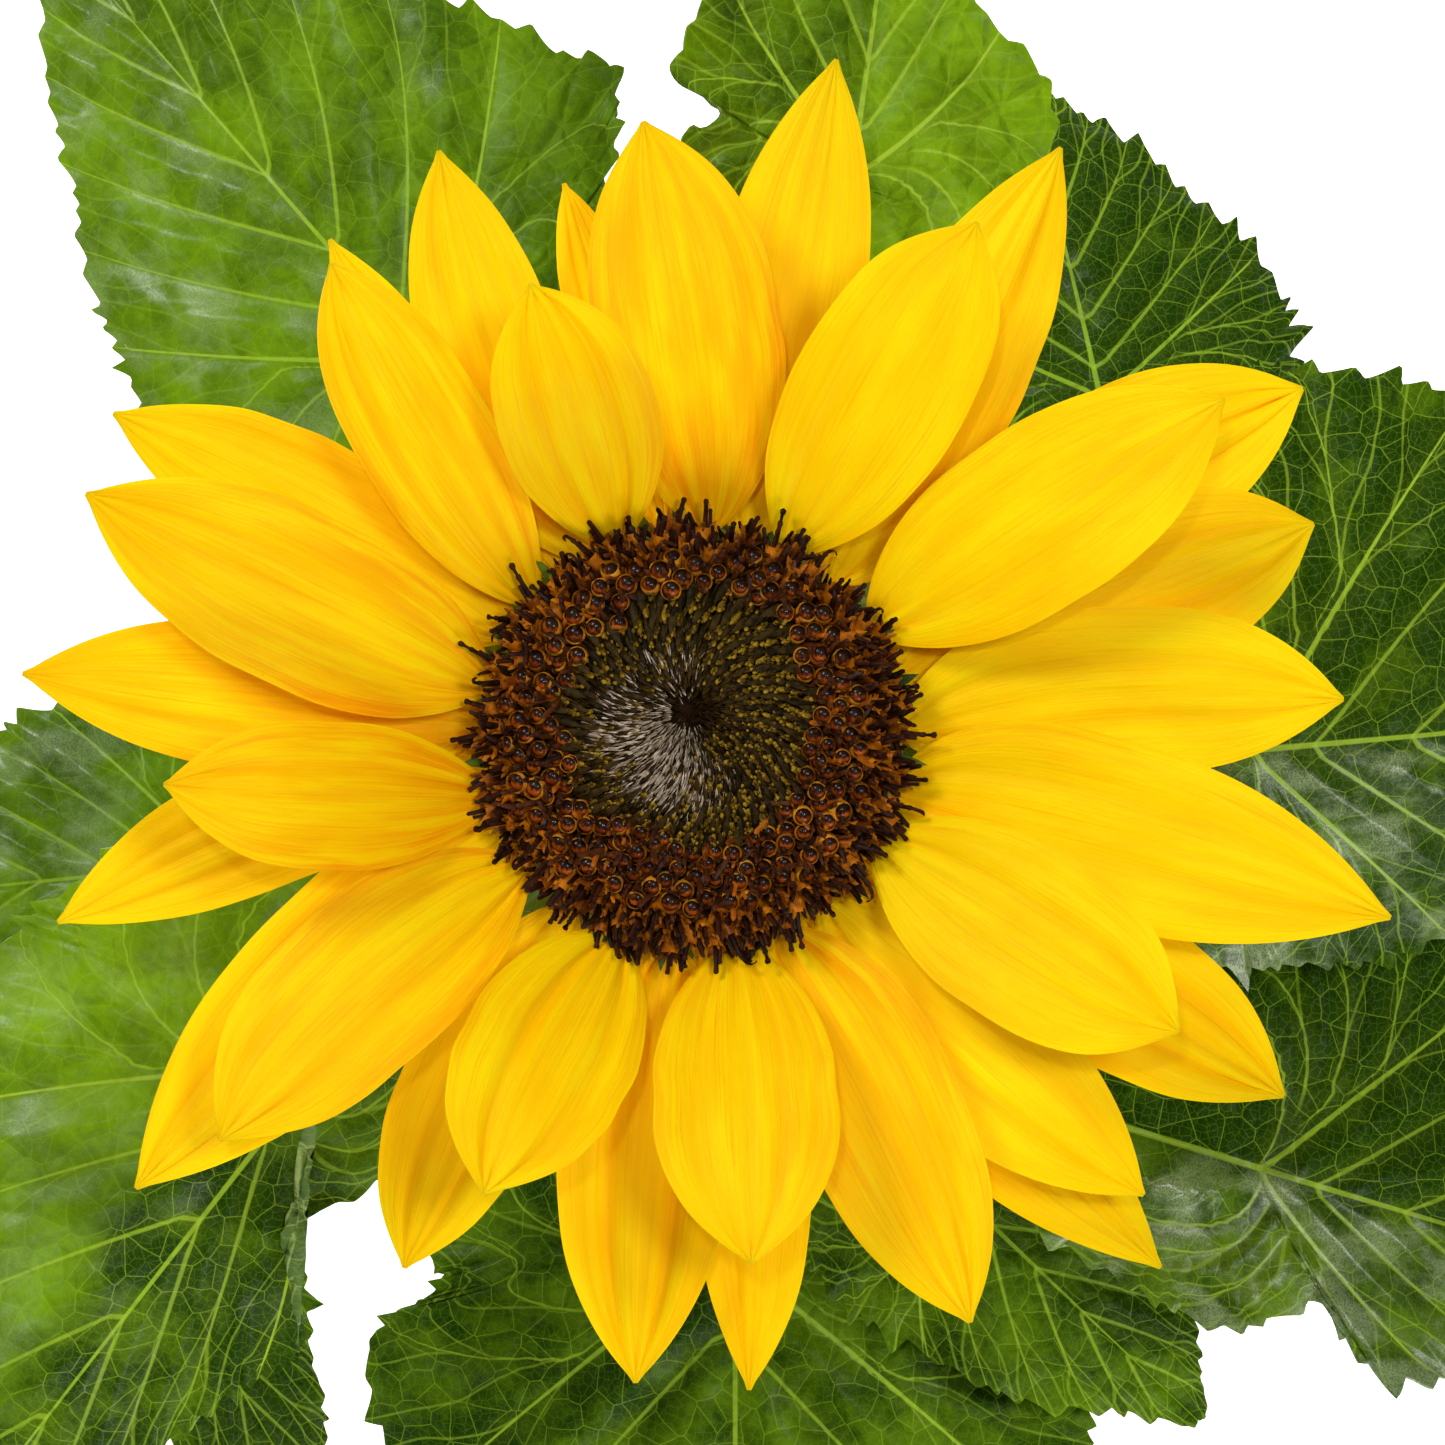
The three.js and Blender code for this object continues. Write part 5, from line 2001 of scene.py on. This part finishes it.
@dataclass(frozen=True)
class SideVein:
    """A side vein of a leaf's half: its number, and where along the outline it starts and ends.

    A vein with a branching share leaves the strong basal vein there instead of the midrib.
    """

    number: float
    foot: float
    margin: float
    branching: float = 0.0


@dataclass
class Foliage(PlantPart):
    """The leaves and their stalks."""

    thickness: float = 0.5
    rib_depth: float = 2.4
    bow: float = 0.05
    columns: int = 34
    rows: int = 320
    sinus: float = 2.6
    shoulder_pivot: float = 0.42
    vein_fan: float = 0.5
    vein_foot: float = 0.06
    vein_shift: float = 0.012
    tooth: float = 1.5
    tooth_pitch: float = 3.9
    stalk_foot: float = 2.6
    stalk_tip: float = 1.7
    stalk_hairs: int = 160
    side_veins: Sequence[SideVein] = (
        SideVein(-1, 0, 0.06, 0.03),
        SideVein(0, 0, 0.17, 0.12),
        SideVein(1, 0, 0.30, 0.28),
        SideVein(2, 0, 0.42, 0.45),
        SideVein(3, 0.50, 0.57),
        SideVein(4, 0.56, 0.655),
        SideVein(5, 0.64, 0.73),
        SideVein(6, 0.72, 0.81),
        SideVein(7, 0.80, 0.88),
        SideVein(8, 0.88, 0.94),
    )
    leaves: Sequence[LeafPlan] = LEAVES
    edge_points: Array = field(
        default_factory=lambda: np.array(
            [
                (-0.11, 0.04), (-0.19, 0.42), (-0.05, 0.86), (0.17, 1.0), (0.4, 0.88), (0.64, 0.6),
                (0.84, 0.27), (1.0, 0.012),
            ]
        )
    )

    def outline(self, along: Array) -> Array:
        """Half of a leaf's outline for a blade of length 1 and half-width 1.

        Args:
            along: from beside the stalk round to the tip.

        Returns:
            One place along and beside the midrib for each.
        """
        last = len(self.edge_points) - 1
        at = np.clip(along, 0, 1) * last
        first = np.minimum(at.astype(int), last - 1)
        t = (at - first)[:, None]
        p0, p1 = self.edge_points[np.maximum(first - 1, 0)], self.edge_points[first]
        p2, p3 = self.edge_points[first + 1], self.edge_points[np.minimum(first + 2, last)]
        v0, v1 = (p2 - p0) / 2, (p3 - p1) / 2
        return (2 * p1 - 2 * p2 + v0 + v1) * t**3 + (-3 * p1 + 3 * p2 - 2 * v0 - v1) * t**2 + v0 * t + p1

    def vein_start(self, along: Array) -> Array:
        """Where the side veins spring from the midrib.

        Args:
            along: where each ends on the outline.

        Returns:
            The share of the midrib's length.
        """
        fan = self.vein_foot * along / self.vein_fan
        beyond = np.clip((along - self.vein_fan) / (1 - self.vein_fan), 0, 1)
        return np.where(along < self.vein_fan, fan, self.vein_foot + (1 - self.vein_foot) * beyond**1.15)

    def flat(self, leaf: LeafPlan, across: Array, along: Array) -> tuple[Array, Array]:
        """A leaf laid flat, with a smooth margin.

        Args:
            leaf: its plan.
            across: from -1 to 1, from the left margin to the right one.
            along: from 0 to 1, from beside the stalk round to the tip.

        Returns:
            How far each point lies along the midrib and beside it, in millimetres.
        """
        edge = self.outline(along)
        half = np.where(across < 0, leaf.left, leaf.right)
        shoulder = np.where(across < 0, leaf.shoulder_left, leaf.shoulder_right)
        breadth = edge[:, 1] * half * (1 + shoulder * (self.shoulder_pivot - along))
        sinus = self.sinus - leaf.closed * (1 - smoothstep(along, 0.0, 0.3))
        reach = breadth + sinus + (0.5 - self.sinus) * along
        for bay in leaf.bays:
            dip = bay.depth * np.exp(-(((along - bay.along) / bay.breadth) ** 2))
            reach = reach * (1 - np.where(np.sign(across) == bay.side, dip, 0.0))
        ahead = np.where(edge[:, 0] < 0, edge[:, 0] * leaf.lobe, edge[:, 0])
        foot = self.vein_start(along)
        share = np.abs(across)
        bow = self.bow * share * (1 - share) * np.sin(math.pi * along)
        forward = leaf.length * (foot + (ahead - foot) * share - bow)
        return forward, np.sign(across) * reach * share

    def toothed(
        self, leaf: LeafPlan, across: Array, along: Array, rng: np.random.Generator
    ) -> tuple[Array, Array]:
        """A leaf laid flat, with pointed teeth of uneven size along its margin.

        Args:
            leaf: its plan.
            across: from the left margin to the right one.
            along: from beside the stalk round to the tip.
            rng: the source of the teeth's sizes.

        Returns:
            How far each point lies along the midrib and beside it, in millimetres.
        """
        forward, sideways = self.flat(leaf, across, along)
        share = np.abs(across)
        steps = np.linspace(0.0, 1.0, 600)
        for sign in (LEFT, RIGHT):
            x, y = self.flat(leaf, np.full_like(steps, sign), steps)
            length = np.concatenate([[0.0], np.cumsum(np.hypot(np.diff(x), np.diff(y)))])
            count = int(length[-1] / self.tooth_pitch)
            borders = np.cumsum(rng.uniform(0.45, 1.55, count + 1))
            borders = (borders - borders[0]) / (borders[-1] - borders[0]) * length[-1]
            sizes = rng.uniform(0.3, 1.3, count + 1) * (1 + 0.4 * (rng.random(count + 1) < 0.3))
            at = np.interp(along, steps, length)
            number = np.clip(np.searchsorted(borders, at, side="right") - 1, 0, count - 1)
            rise = (at - borders[number]) / (borders[number + 1] - borders[number])
            saw = np.where(rise < 0.68, (rise / 0.68) ** 1.5, ((1 - rise) / 0.32) ** 0.8)
            slope_x, slope_y = np.gradient(x, steps), np.gradient(y, steps)
            scale = np.hypot(slope_x, slope_y)
            tangent_x = np.interp(along, steps, slope_x / scale)
            tangent_y = np.interp(along, steps, slope_y / scale)
            fade = smoothstep(along, 0.02, 0.09) * (1 - along**8) * share**7
            wavy = 0.7 * np.sin(at / 3.9 + leaf.axis) + 0.5 * np.sin(at / 7.1 + 2.0 * leaf.axis)
            push = (self.tooth * leaf.tooth * (saw * sizes[number] - 0.4) + wavy * 0.6) * fade
            lean = 0.45 * self.tooth * leaf.tooth * saw * sizes[number] * fade
            here = (across < 0) if sign < 0 else (across > 0)
            forward = np.where(here, forward - sign * push * tangent_y + lean * tangent_x, forward)
            sideways = np.where(here, sideways + sign * push * tangent_x + lean * tangent_y, sideways)
        return forward, sideways

    @staticmethod
    def basal_course(share: Array | float) -> Array | float:
        """Where along the outline the strong basal vein runs, at a share of the way to the margin."""
        return 0.50 + 0.07 * share**0.7

    def vein_borders(self, share: float) -> Array:
        """Where along the outline each side vein runs.

        Args:
            share: the share of the way to the margin.

        Returns:
            One place for each vein, with one more at both ends.
        """
        strong = self.basal_course(share)
        rows = []
        for vein in self.side_veins:
            if vein.branching:
                apart = 0.006 * (3 - vein.number)
                course = max(0.0, (share - vein.branching) / (1 - vein.branching)) ** 1.15
                rows.append(strong - apart + (vein.margin - 0.57 + apart) * course)
            elif vein.number == 3:
                rows.append(strong)
            else:
                rows.append(vein.foot + (vein.margin - vein.foot) * share**0.8)
        return np.array([rows[0] - 0.1] + rows + [rows[-1] + 0.05])

    def vein_phase(self, across: Array, along: Array, forward: Array, sideways: Array) -> tuple[Array, Array]:
        """Which side veins each point of a leaf lies between, and how far apart they are.

        Args:
            across: from the left margin to the right one, one row of the grid for each step along.
            along: from beside the stalk round to the tip, in the same grid.
            forward: each point's place along the midrib.
            sideways: each point's place beside it.

        Returns:
            A phase that is a whole number on each vein, and the millimetres in one unit of it.
        """
        numbers = [vein.number for vein in self.side_veins]
        numbers = np.array([numbers[0] - 0.5] + numbers + [numbers[-1] + 0.5])
        phase = np.empty_like(along)
        for column in range(along.shape[1]):
            borders = self.vein_borders(abs(float(across[0, column])))
            shift = self.vein_shift if across[0, column] > 0 else 0.0
            phase[:, column] = np.interp(along[:, column] + shift, borders, numbers)
        down, right = np.gradient(phase)
        x_down, x_right = np.gradient(forward)
        y_down, y_right = np.gradient(sideways)
        area = x_down * y_right - x_right * y_down
        area = np.where(np.abs(area) < 1e-4, np.where(area < 0, -1e-4, 1e-4), area)
        slope = np.hypot(down * y_right - right * y_down, right * x_down - down * x_right) / np.abs(area)
        return phase, np.clip(1 / np.maximum(slope, 1e-3), 0.02, 40.0)

    @staticmethod
    def surface(
        leaf: LeafPlan, across: Array, along: Array, forward: Array, sideways: Array, lift_more: Array
    ) -> Array:
        """Bends a flat leaf into its place on the plant, as the source does.

        Args:
            leaf: its plan.
            across: from the left margin to the right one.
            along: from beside the stalk round to the tip.
            forward: each point's place along the midrib.
            sideways: each point's place beside it.
            lift_more: the relief that is added, in millimetres.

        Returns:
            The points, in millimetres.
        """
        foot = np.array([HEAD[0] + leaf.x, HEAD[1] + leaf.y, RIM_HEIGHT - leaf.drop])
        ahead, beside = heading(leaf.axis), heading(leaf.axis - 90)
        slope_foot = math.radians(leaf.pitch)
        slope = slope_foot - math.radians(leaf.droop) * np.maximum(forward / leaf.length, 0)
        middle = (slope_foot + slope) / 2
        tilt = np.radians(np.where(across < 0, leaf.rise_left, leaf.rise_right))
        half = np.where(across < 0, leaf.left, leaf.right)
        outward = np.abs(sideways) / half
        wave = leaf.wave * outward**2 * np.sin(11 * along + leaf.axis + np.where(across < 0, 2.0, 0.0))
        lift = half * (outward * np.sin(tilt) - leaf.curl * outward**2) + wave + lift_more
        points = foot + ahead * (forward * np.cos(middle) - lift * np.sin(slope))[:, None]
        points = points + UP * (forward * np.sin(middle) + lift * np.cos(slope))[:, None]
        return points + beside * sideways[:, None]

    def basal_vein(
        self, leaf: LeafPlan, across: Array, along: Array, forward: Array, sideways: Array
    ) -> Array:
        """How far each point lies from the strong basal vein of its own side, in millimetres.

        Args:
            leaf: its plan.
            across: from the left margin to the right one.
            along: from beside the stalk round to the tip.
            forward: each point's place along the midrib.
            sideways: each point's place beside it.

        Returns:
            The distances, below zero on the side of the vein towards the stalk.
        """
        share = np.linspace(0.0, 0.97, 260)
        here = np.stack([forward, sideways], -1)[:, None]
        gaps = []
        for sign in (LEFT, RIGHT):
            shift = self.vein_shift if sign > 0 else 0.0
            path = np.stack(self.flat(leaf, sign * share, self.basal_course(share) - shift), -1)
            gaps.append(np.linalg.norm(here - path[None], axis=-1).min(1))
        course = self.basal_course(np.abs(across)) - np.where(across > 0, self.vein_shift, 0.0)
        return np.sign(along - course) * np.where(across < 0, gaps[0], gaps[1])

    @staticmethod
    def puckers(forward: Array, sideways: Array, rng: np.random.Generator) -> Array:
        """Small swellings between the finer veins.

        Args:
            forward: each point's place along the midrib.
            sideways: each point's place beside it.
            rng: the source of the small differences.

        Returns:
            Their heights from 0 to 1.
        """
        pitch = 6.0
        xs = np.arange(forward.min() - pitch, forward.max() + pitch, pitch)
        ys = np.arange(sideways.min() - pitch, sideways.max() + pitch, pitch)
        seeds = np.stack(np.meshgrid(xs, ys), -1).reshape(-1, 2)
        seeds = seeds + rng.uniform(-2.4, 2.4, seeds.shape)
        gaps = np.linalg.norm(np.stack([forward, sideways], -1)[:, None, :] - seeds[None], axis=-1)
        two = np.partition(gaps, 1, axis=1)[:, :2]
        return 1 - np.exp(-(((two[:, 1] - two[:, 0]) / 1.9) ** 2))

    def stalk(self, leaf: LeafPlan, index: int, finish: bpy.types.Material, swarm: Swarm) -> None:
        """Makes one leaf stalk, grooved on top and swollen at its foot, and its hairs.

        Args:
            leaf: its plan.
            index: its number.
            finish: the stalk's material.
            swarm: where its hairs are gathered.
        """
        end = np.array([HEAD[0] + leaf.x, HEAD[1] + leaf.y, RIM_HEIGHT - leaf.drop])
        start = stem_middle(np.array(end[2] - leaf.climb - 8.0))
        out = (end - start) * np.array([1, 1, 0])
        bend = start + out * 0.5
        bend[2] = end[2] - leaf.climb * 0.3
        last = end - heading(leaf.axis) * 1.4
        last[2] -= 1.2
        piece = column(f"leaf_stalk_{index + 1:02d}", 20, 60)
        flat = points_of(piece)
        along = np.clip((flat[:, 2] + 1) / 2, 0, 1)
        share = np.linspace(0, 1, 241)
        line = smooth_path(start, bend, last, share)
        length = np.linalg.norm(np.diff(line, axis=0), axis=1).sum()
        begins = float(stem_radius(np.array(start[2]))) * 0.8 / length
        at = begins + (1 - begins) * along
        middle = np.stack([np.interp(at, share, line[:, k]) for k in range(3)], -1)
        middle[:, 2] -= 2.6 * smoothstep(at, 0.35, 0.75) * (1 - 0.75 * smoothstep(at, 0.86, 1.0))
        slopes = np.gradient(line, axis=0)
        tangent = unit(np.stack([np.interp(at, share, slopes[:, k]) for k in range(3)], -1))
        side = unit(np.cross(tangent, UP))
        back = np.cross(side, tangent)
        around = np.arctan2(flat[:, 1], flat[:, 0])
        inside = np.hypot(flat[:, 0], flat[:, 1])
        radius = self.stalk_foot + (self.stalk_tip - self.stalk_foot) * at
        radius = radius * (1 + 0.35 * np.exp(-along * 14)) * (1 - 0.4 * smoothstep(at, 0.84, 1.0)) * inside
        groove = 1 - 0.2 * np.exp(-((around / 0.55) ** 2)) * smoothstep(along, 0.05, 0.3)
        relief = groove + 0.025 * np.cos(9 * around)
        radius = radius * relief
        points = middle + back * (radius * np.cos(around))[:, None]
        points = points + side * (radius * np.sin(around))[:, None]
        set_points(piece, points * MM)
        set_vector(piece, "grain", around * 2.5, at * 70, index * 5.0)
        shade(piece, 60.0)
        dress(piece, "stem", finish)
        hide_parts(f"petiole_{index + 1:02d}")
        rng = np.random.default_rng(700 + index)
        chosen = rng.choice(np.flatnonzero(inside > 0.5), self.stalk_hairs, replace=False)
        normals = unit(points[chosen] - middle[chosen])
        axes = unit(normals + 0.3 * tangent[chosen] + rng.normal(0, 0.15, (self.stalk_hairs, 3)))
        frames = frames_along(axes, rng.uniform(0, 6, self.stalk_hairs))
        swarm.add(stiff_hair(), points[chosen], frames, rng.uniform(0.6, 1.3, (self.stalk_hairs, 1)))

    def blade(self, leaf: LeafPlan, index: int, face: bpy.types.Material, under: bpy.types.Material) -> None:
        """Makes one leaf blade with its teeth, ribs and swellings, in place of its solid.

        Args:
            leaf: its plan.
            index: its number.
            face: the upper material.
            under: the lower material.
        """
        rng = np.random.default_rng(300 + index)
        piece = sheet(f"leaf_blade_{index + 1:02d}", self.columns, self.rows)
        grid = points_of(piece)
        across = np.sign(grid[:, 0]) * np.abs(grid[:, 0]) ** 0.95
        along = np.clip((grid[:, 1] + 1) / 2, 0, 1)
        forward, sideways = self.toothed(leaf, across, along, rng)
        order = np.lexsort((grid[:, 0], np.round(grid[:, 1], 5)))
        table = (self.rows + 1, self.columns + 1)
        phase, pitch = np.empty_like(along), np.empty_like(along)
        cells = [values[order].reshape(table) for values in (across, along, forward, sideways)]
        for target, values in zip((phase, pitch), self.vein_phase(*cells)):
            target[order] = values.ravel()
        share = np.abs(across)
        aside = np.abs(phase - np.round(phase)) * pitch
        nearest = np.minimum(aside, np.abs(sideways))
        inner = 1 - share**5
        quilt = 2.1 * leaf.bulge * (1 - np.exp(-((nearest / 4.2) ** 2))) * inner
        turning = smoothstep(across, leaf.right_from + 0.04, leaf.right_from + 0.2)
        shine = leaf.shine + leaf.shine_right * turning
        small = self.puckers(forward, sideways, rng) * (1 - np.exp(-((nearest / 1.8) ** 2)))
        small = small * 0.5 * leaf.bulge * (1 - 0.55 * np.clip(shine, 0, 1))
        midrib = 0.44 * np.clip(1 - forward / leaf.length, 0.2, 1)
        scaled = np.abs(sideways) / midrib
        groove = -0.25 * np.exp(-((aside / 0.7) ** 2)) - 0.3 * np.exp(-((scaled / 1.6) ** 2))
        ripple = 1.3 * waves(along * 3 + share, rng, 2, 7) * share**3
        lift = 0.35 + quilt + small + groove + ripple - 0.7 * leaf.bulge
        set_points(piece, self.surface(leaf, across, along, forward, sideways, lift) * MM)
        set_vector(piece, "flat", sideways, forward, index * 31.0)
        set_vector(piece, "veins", phase, pitch, share)
        set_scalar(piece, "rib", np.minimum(scaled, 40.0))
        basal = self.basal_vein(leaf, across, along, forward, sideways)
        set_scalar(piece, "basal", np.clip(basal / (0.34 - 0.22 * share), -40.0, 40.0))
        # The tone is partly the leaf's own green and partly painted light and shade.
        tone = leaf.tone + leaf.tone_right * smoothstep(across, leaf.right_from, leaf.right_from + 0.3)
        tone = tone + 0.08 * waves(along * 2, rng, 1, 3) + 0.1 * smoothstep(share, 0.965, 1.0)
        set_scalar(piece, "tone", tone)
        set_scalar(piece, "shine", shine)
        rib = np.exp(-((np.abs(sideways) / 1.1) ** 2)) * np.clip(1 - forward / leaf.length, 0, 1)
        side_rib = 0.3 * np.exp(-((aside / 0.6) ** 2)) * (1 - share)
        body = self.thickness / self.rib_depth
        shares = np.maximum(body * (1 - 0.5 * share**6), body + np.maximum(rib, side_rib) * (1 - body))
        thicken(piece, self.rib_depth, np.minimum(shares, 1.0), -1.0)
        shade(piece, 70.0)
        self.paint_underside(piece)
        dress(piece, "leaf", face, under)
        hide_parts(f"leaf_{index + 1:02d}")

    def paint_underside(self, piece: bpy.types.Object) -> None:
        """Gives the faces that thickening adds below the second material.

        Args:
            piece: the blade.
        """
        faces = len(piece.data.polygons)
        top = self.columns * self.rows
        numbers = np.zeros(faces, int)
        numbers[top : 2 * top] = 1
        piece.data.materials.append(None)
        piece.data.materials.append(None)
        piece.data.polygons.foreach_set("material_index", numbers)

    def build(self) -> None:
        """Makes every leaf with its stalk."""
        face = LeafFinish(
            "leaf_face", rgb(31, 62, 1), rgb(121, 163, 10), rgb(158, 192, 52)
        ).material(self.groups)
        under = LeafFinish(
            "leaf_underside", rgb(88, 118, 52), rgb(122, 152, 78), rgb(176, 198, 122),
            gloss=Gloss(0.6, specular=0.1, coat_roughness=0.5), relief=0.0002, net_strength=0.5,
        ).material(self.groups)
        stalk = StalkFinish("leaf_stalk_green").material(self.groups)
        swarm = Swarm()
        for index, leaf in enumerate(self.leaves):
            self.blade(leaf, index, face, under)
            self.stalk(leaf, index, stalk, swarm)
        hairs = swarm.piece("leaf_stalk_hairs")
        dress(hairs, "stem", hair_finish("stalk_hair_pale").material(self.groups))


# The studio.


@dataclass
class Studio:
    """The floor, the lights and the camera, which looks straight down on the flower."""

    millimetres_per_pixel: float = 0.112
    pixels: int = 1445
    disc_at: tuple[float, float] = (692.0, 738.0)
    distance: float = 0.9
    sensor_width: float = 36.0
    sky_strength: float = 0.15

    @staticmethod
    def floor() -> None:
        """A wide pale floor at ground level."""
        clear_selection()
        bpy.ops.mesh.primitive_plane_add(size=12.0, location=(0, 0, 0))
        floor = bpy.context.object
        floor.name = "studio_floor"
        material, w, shader = new_material("studio_floor_white", Gloss(0.9, specular=0.1))
        w.feed(shader, "Base Color", (0.9, 0.9, 0.9, 1.0))
        w.feed(shader, "Emission Color", (1.0, 1.0, 1.0, 1.0))
        w.feed(shader, "Emission Strength", 1.0)
        floor.data.materials.append(material)

    @staticmethod
    def light(name: str, place: tuple[float, float, float], size: float, watts: float) -> None:
        """Adds a square soft light that faces the flower.

        Args:
            name: the light's name.
            place: where it stands, in metres.
            size: its side, in metres.
            watts: its power.
        """
        data = bpy.data.lights.new(name, "AREA")
        data.shape = "SQUARE"
        data.size = size
        data.energy = watts
        lamp = bpy.data.objects.new(name, data)
        lamp.location = place
        target = Vector(HEAD * MM)
        lamp.rotation_euler = (target - Vector(place)).to_track_quat("-Z", "Y").to_euler()
        bpy.context.collection.objects.link(lamp)

    def camera(self) -> None:
        """A camera above the flower, framed as the photograph is."""
        data = bpy.data.cameras.new("overhead")
        frame_width = self.pixels * self.millimetres_per_pixel * MM
        data.sensor_width = self.sensor_width
        data.sensor_fit = "HORIZONTAL"
        data.lens = self.sensor_width * self.distance / frame_width
        data.clip_end = 50.0
        camera = bpy.data.objects.new("overhead", data)
        half = self.pixels / 2
        step = self.millimetres_per_pixel * MM
        centre = Vector(HEAD * MM)
        camera.location = (
            centre.x + (half - self.disc_at[0]) * step,
            centre.y + (self.disc_at[1] - half) * step,
            centre.z + self.distance,
        )
        camera.rotation_euler = (0.0, 0.0, 0.0)
        bpy.context.collection.objects.link(camera)
        bpy.context.scene.camera = camera

    def build(self) -> None:
        """Sets up floor, lights, sky and camera."""
        self.floor()
        self.light("key", (-0.95, 1.0, 1.45), 0.5, 16.4)
        self.light("second", (0.5, 0.2, 1.8), 0.3, 8.2)
        self.light("third", (-0.1, 0.25, 1.95), 0.06, 3.9)
        self.light("low", (0.55, -1.45, 0.95), 0.7, 12.5)
        world = bpy.data.worlds.new("studio_sky")
        world.use_nodes = True
        world.node_tree.nodes["Background"].inputs[0].default_value = (1.0, 1.0, 1.0, 1.0)
        world.node_tree.nodes["Background"].inputs[1].default_value = self.sky_strength
        bpy.context.scene.world = world
        bpy.context.scene.view_settings.view_transform = "Standard"
        self.camera()


def write_sizes() -> None:
    """Updates the view layer."""
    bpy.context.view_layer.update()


def main() -> None:
    """Builds the plant from its foot to its flower, and the studio round it."""
    logging.basicConfig(level=logging.INFO, format="%(name)s %(message)s")
    groups = Groups()
    Studio().build()
    for part in (Stem, Foliage, Involucre, Disc, RayCorolla):
        part(groups).build()
    write_sizes()


if __name__ == "__main__":
    main()
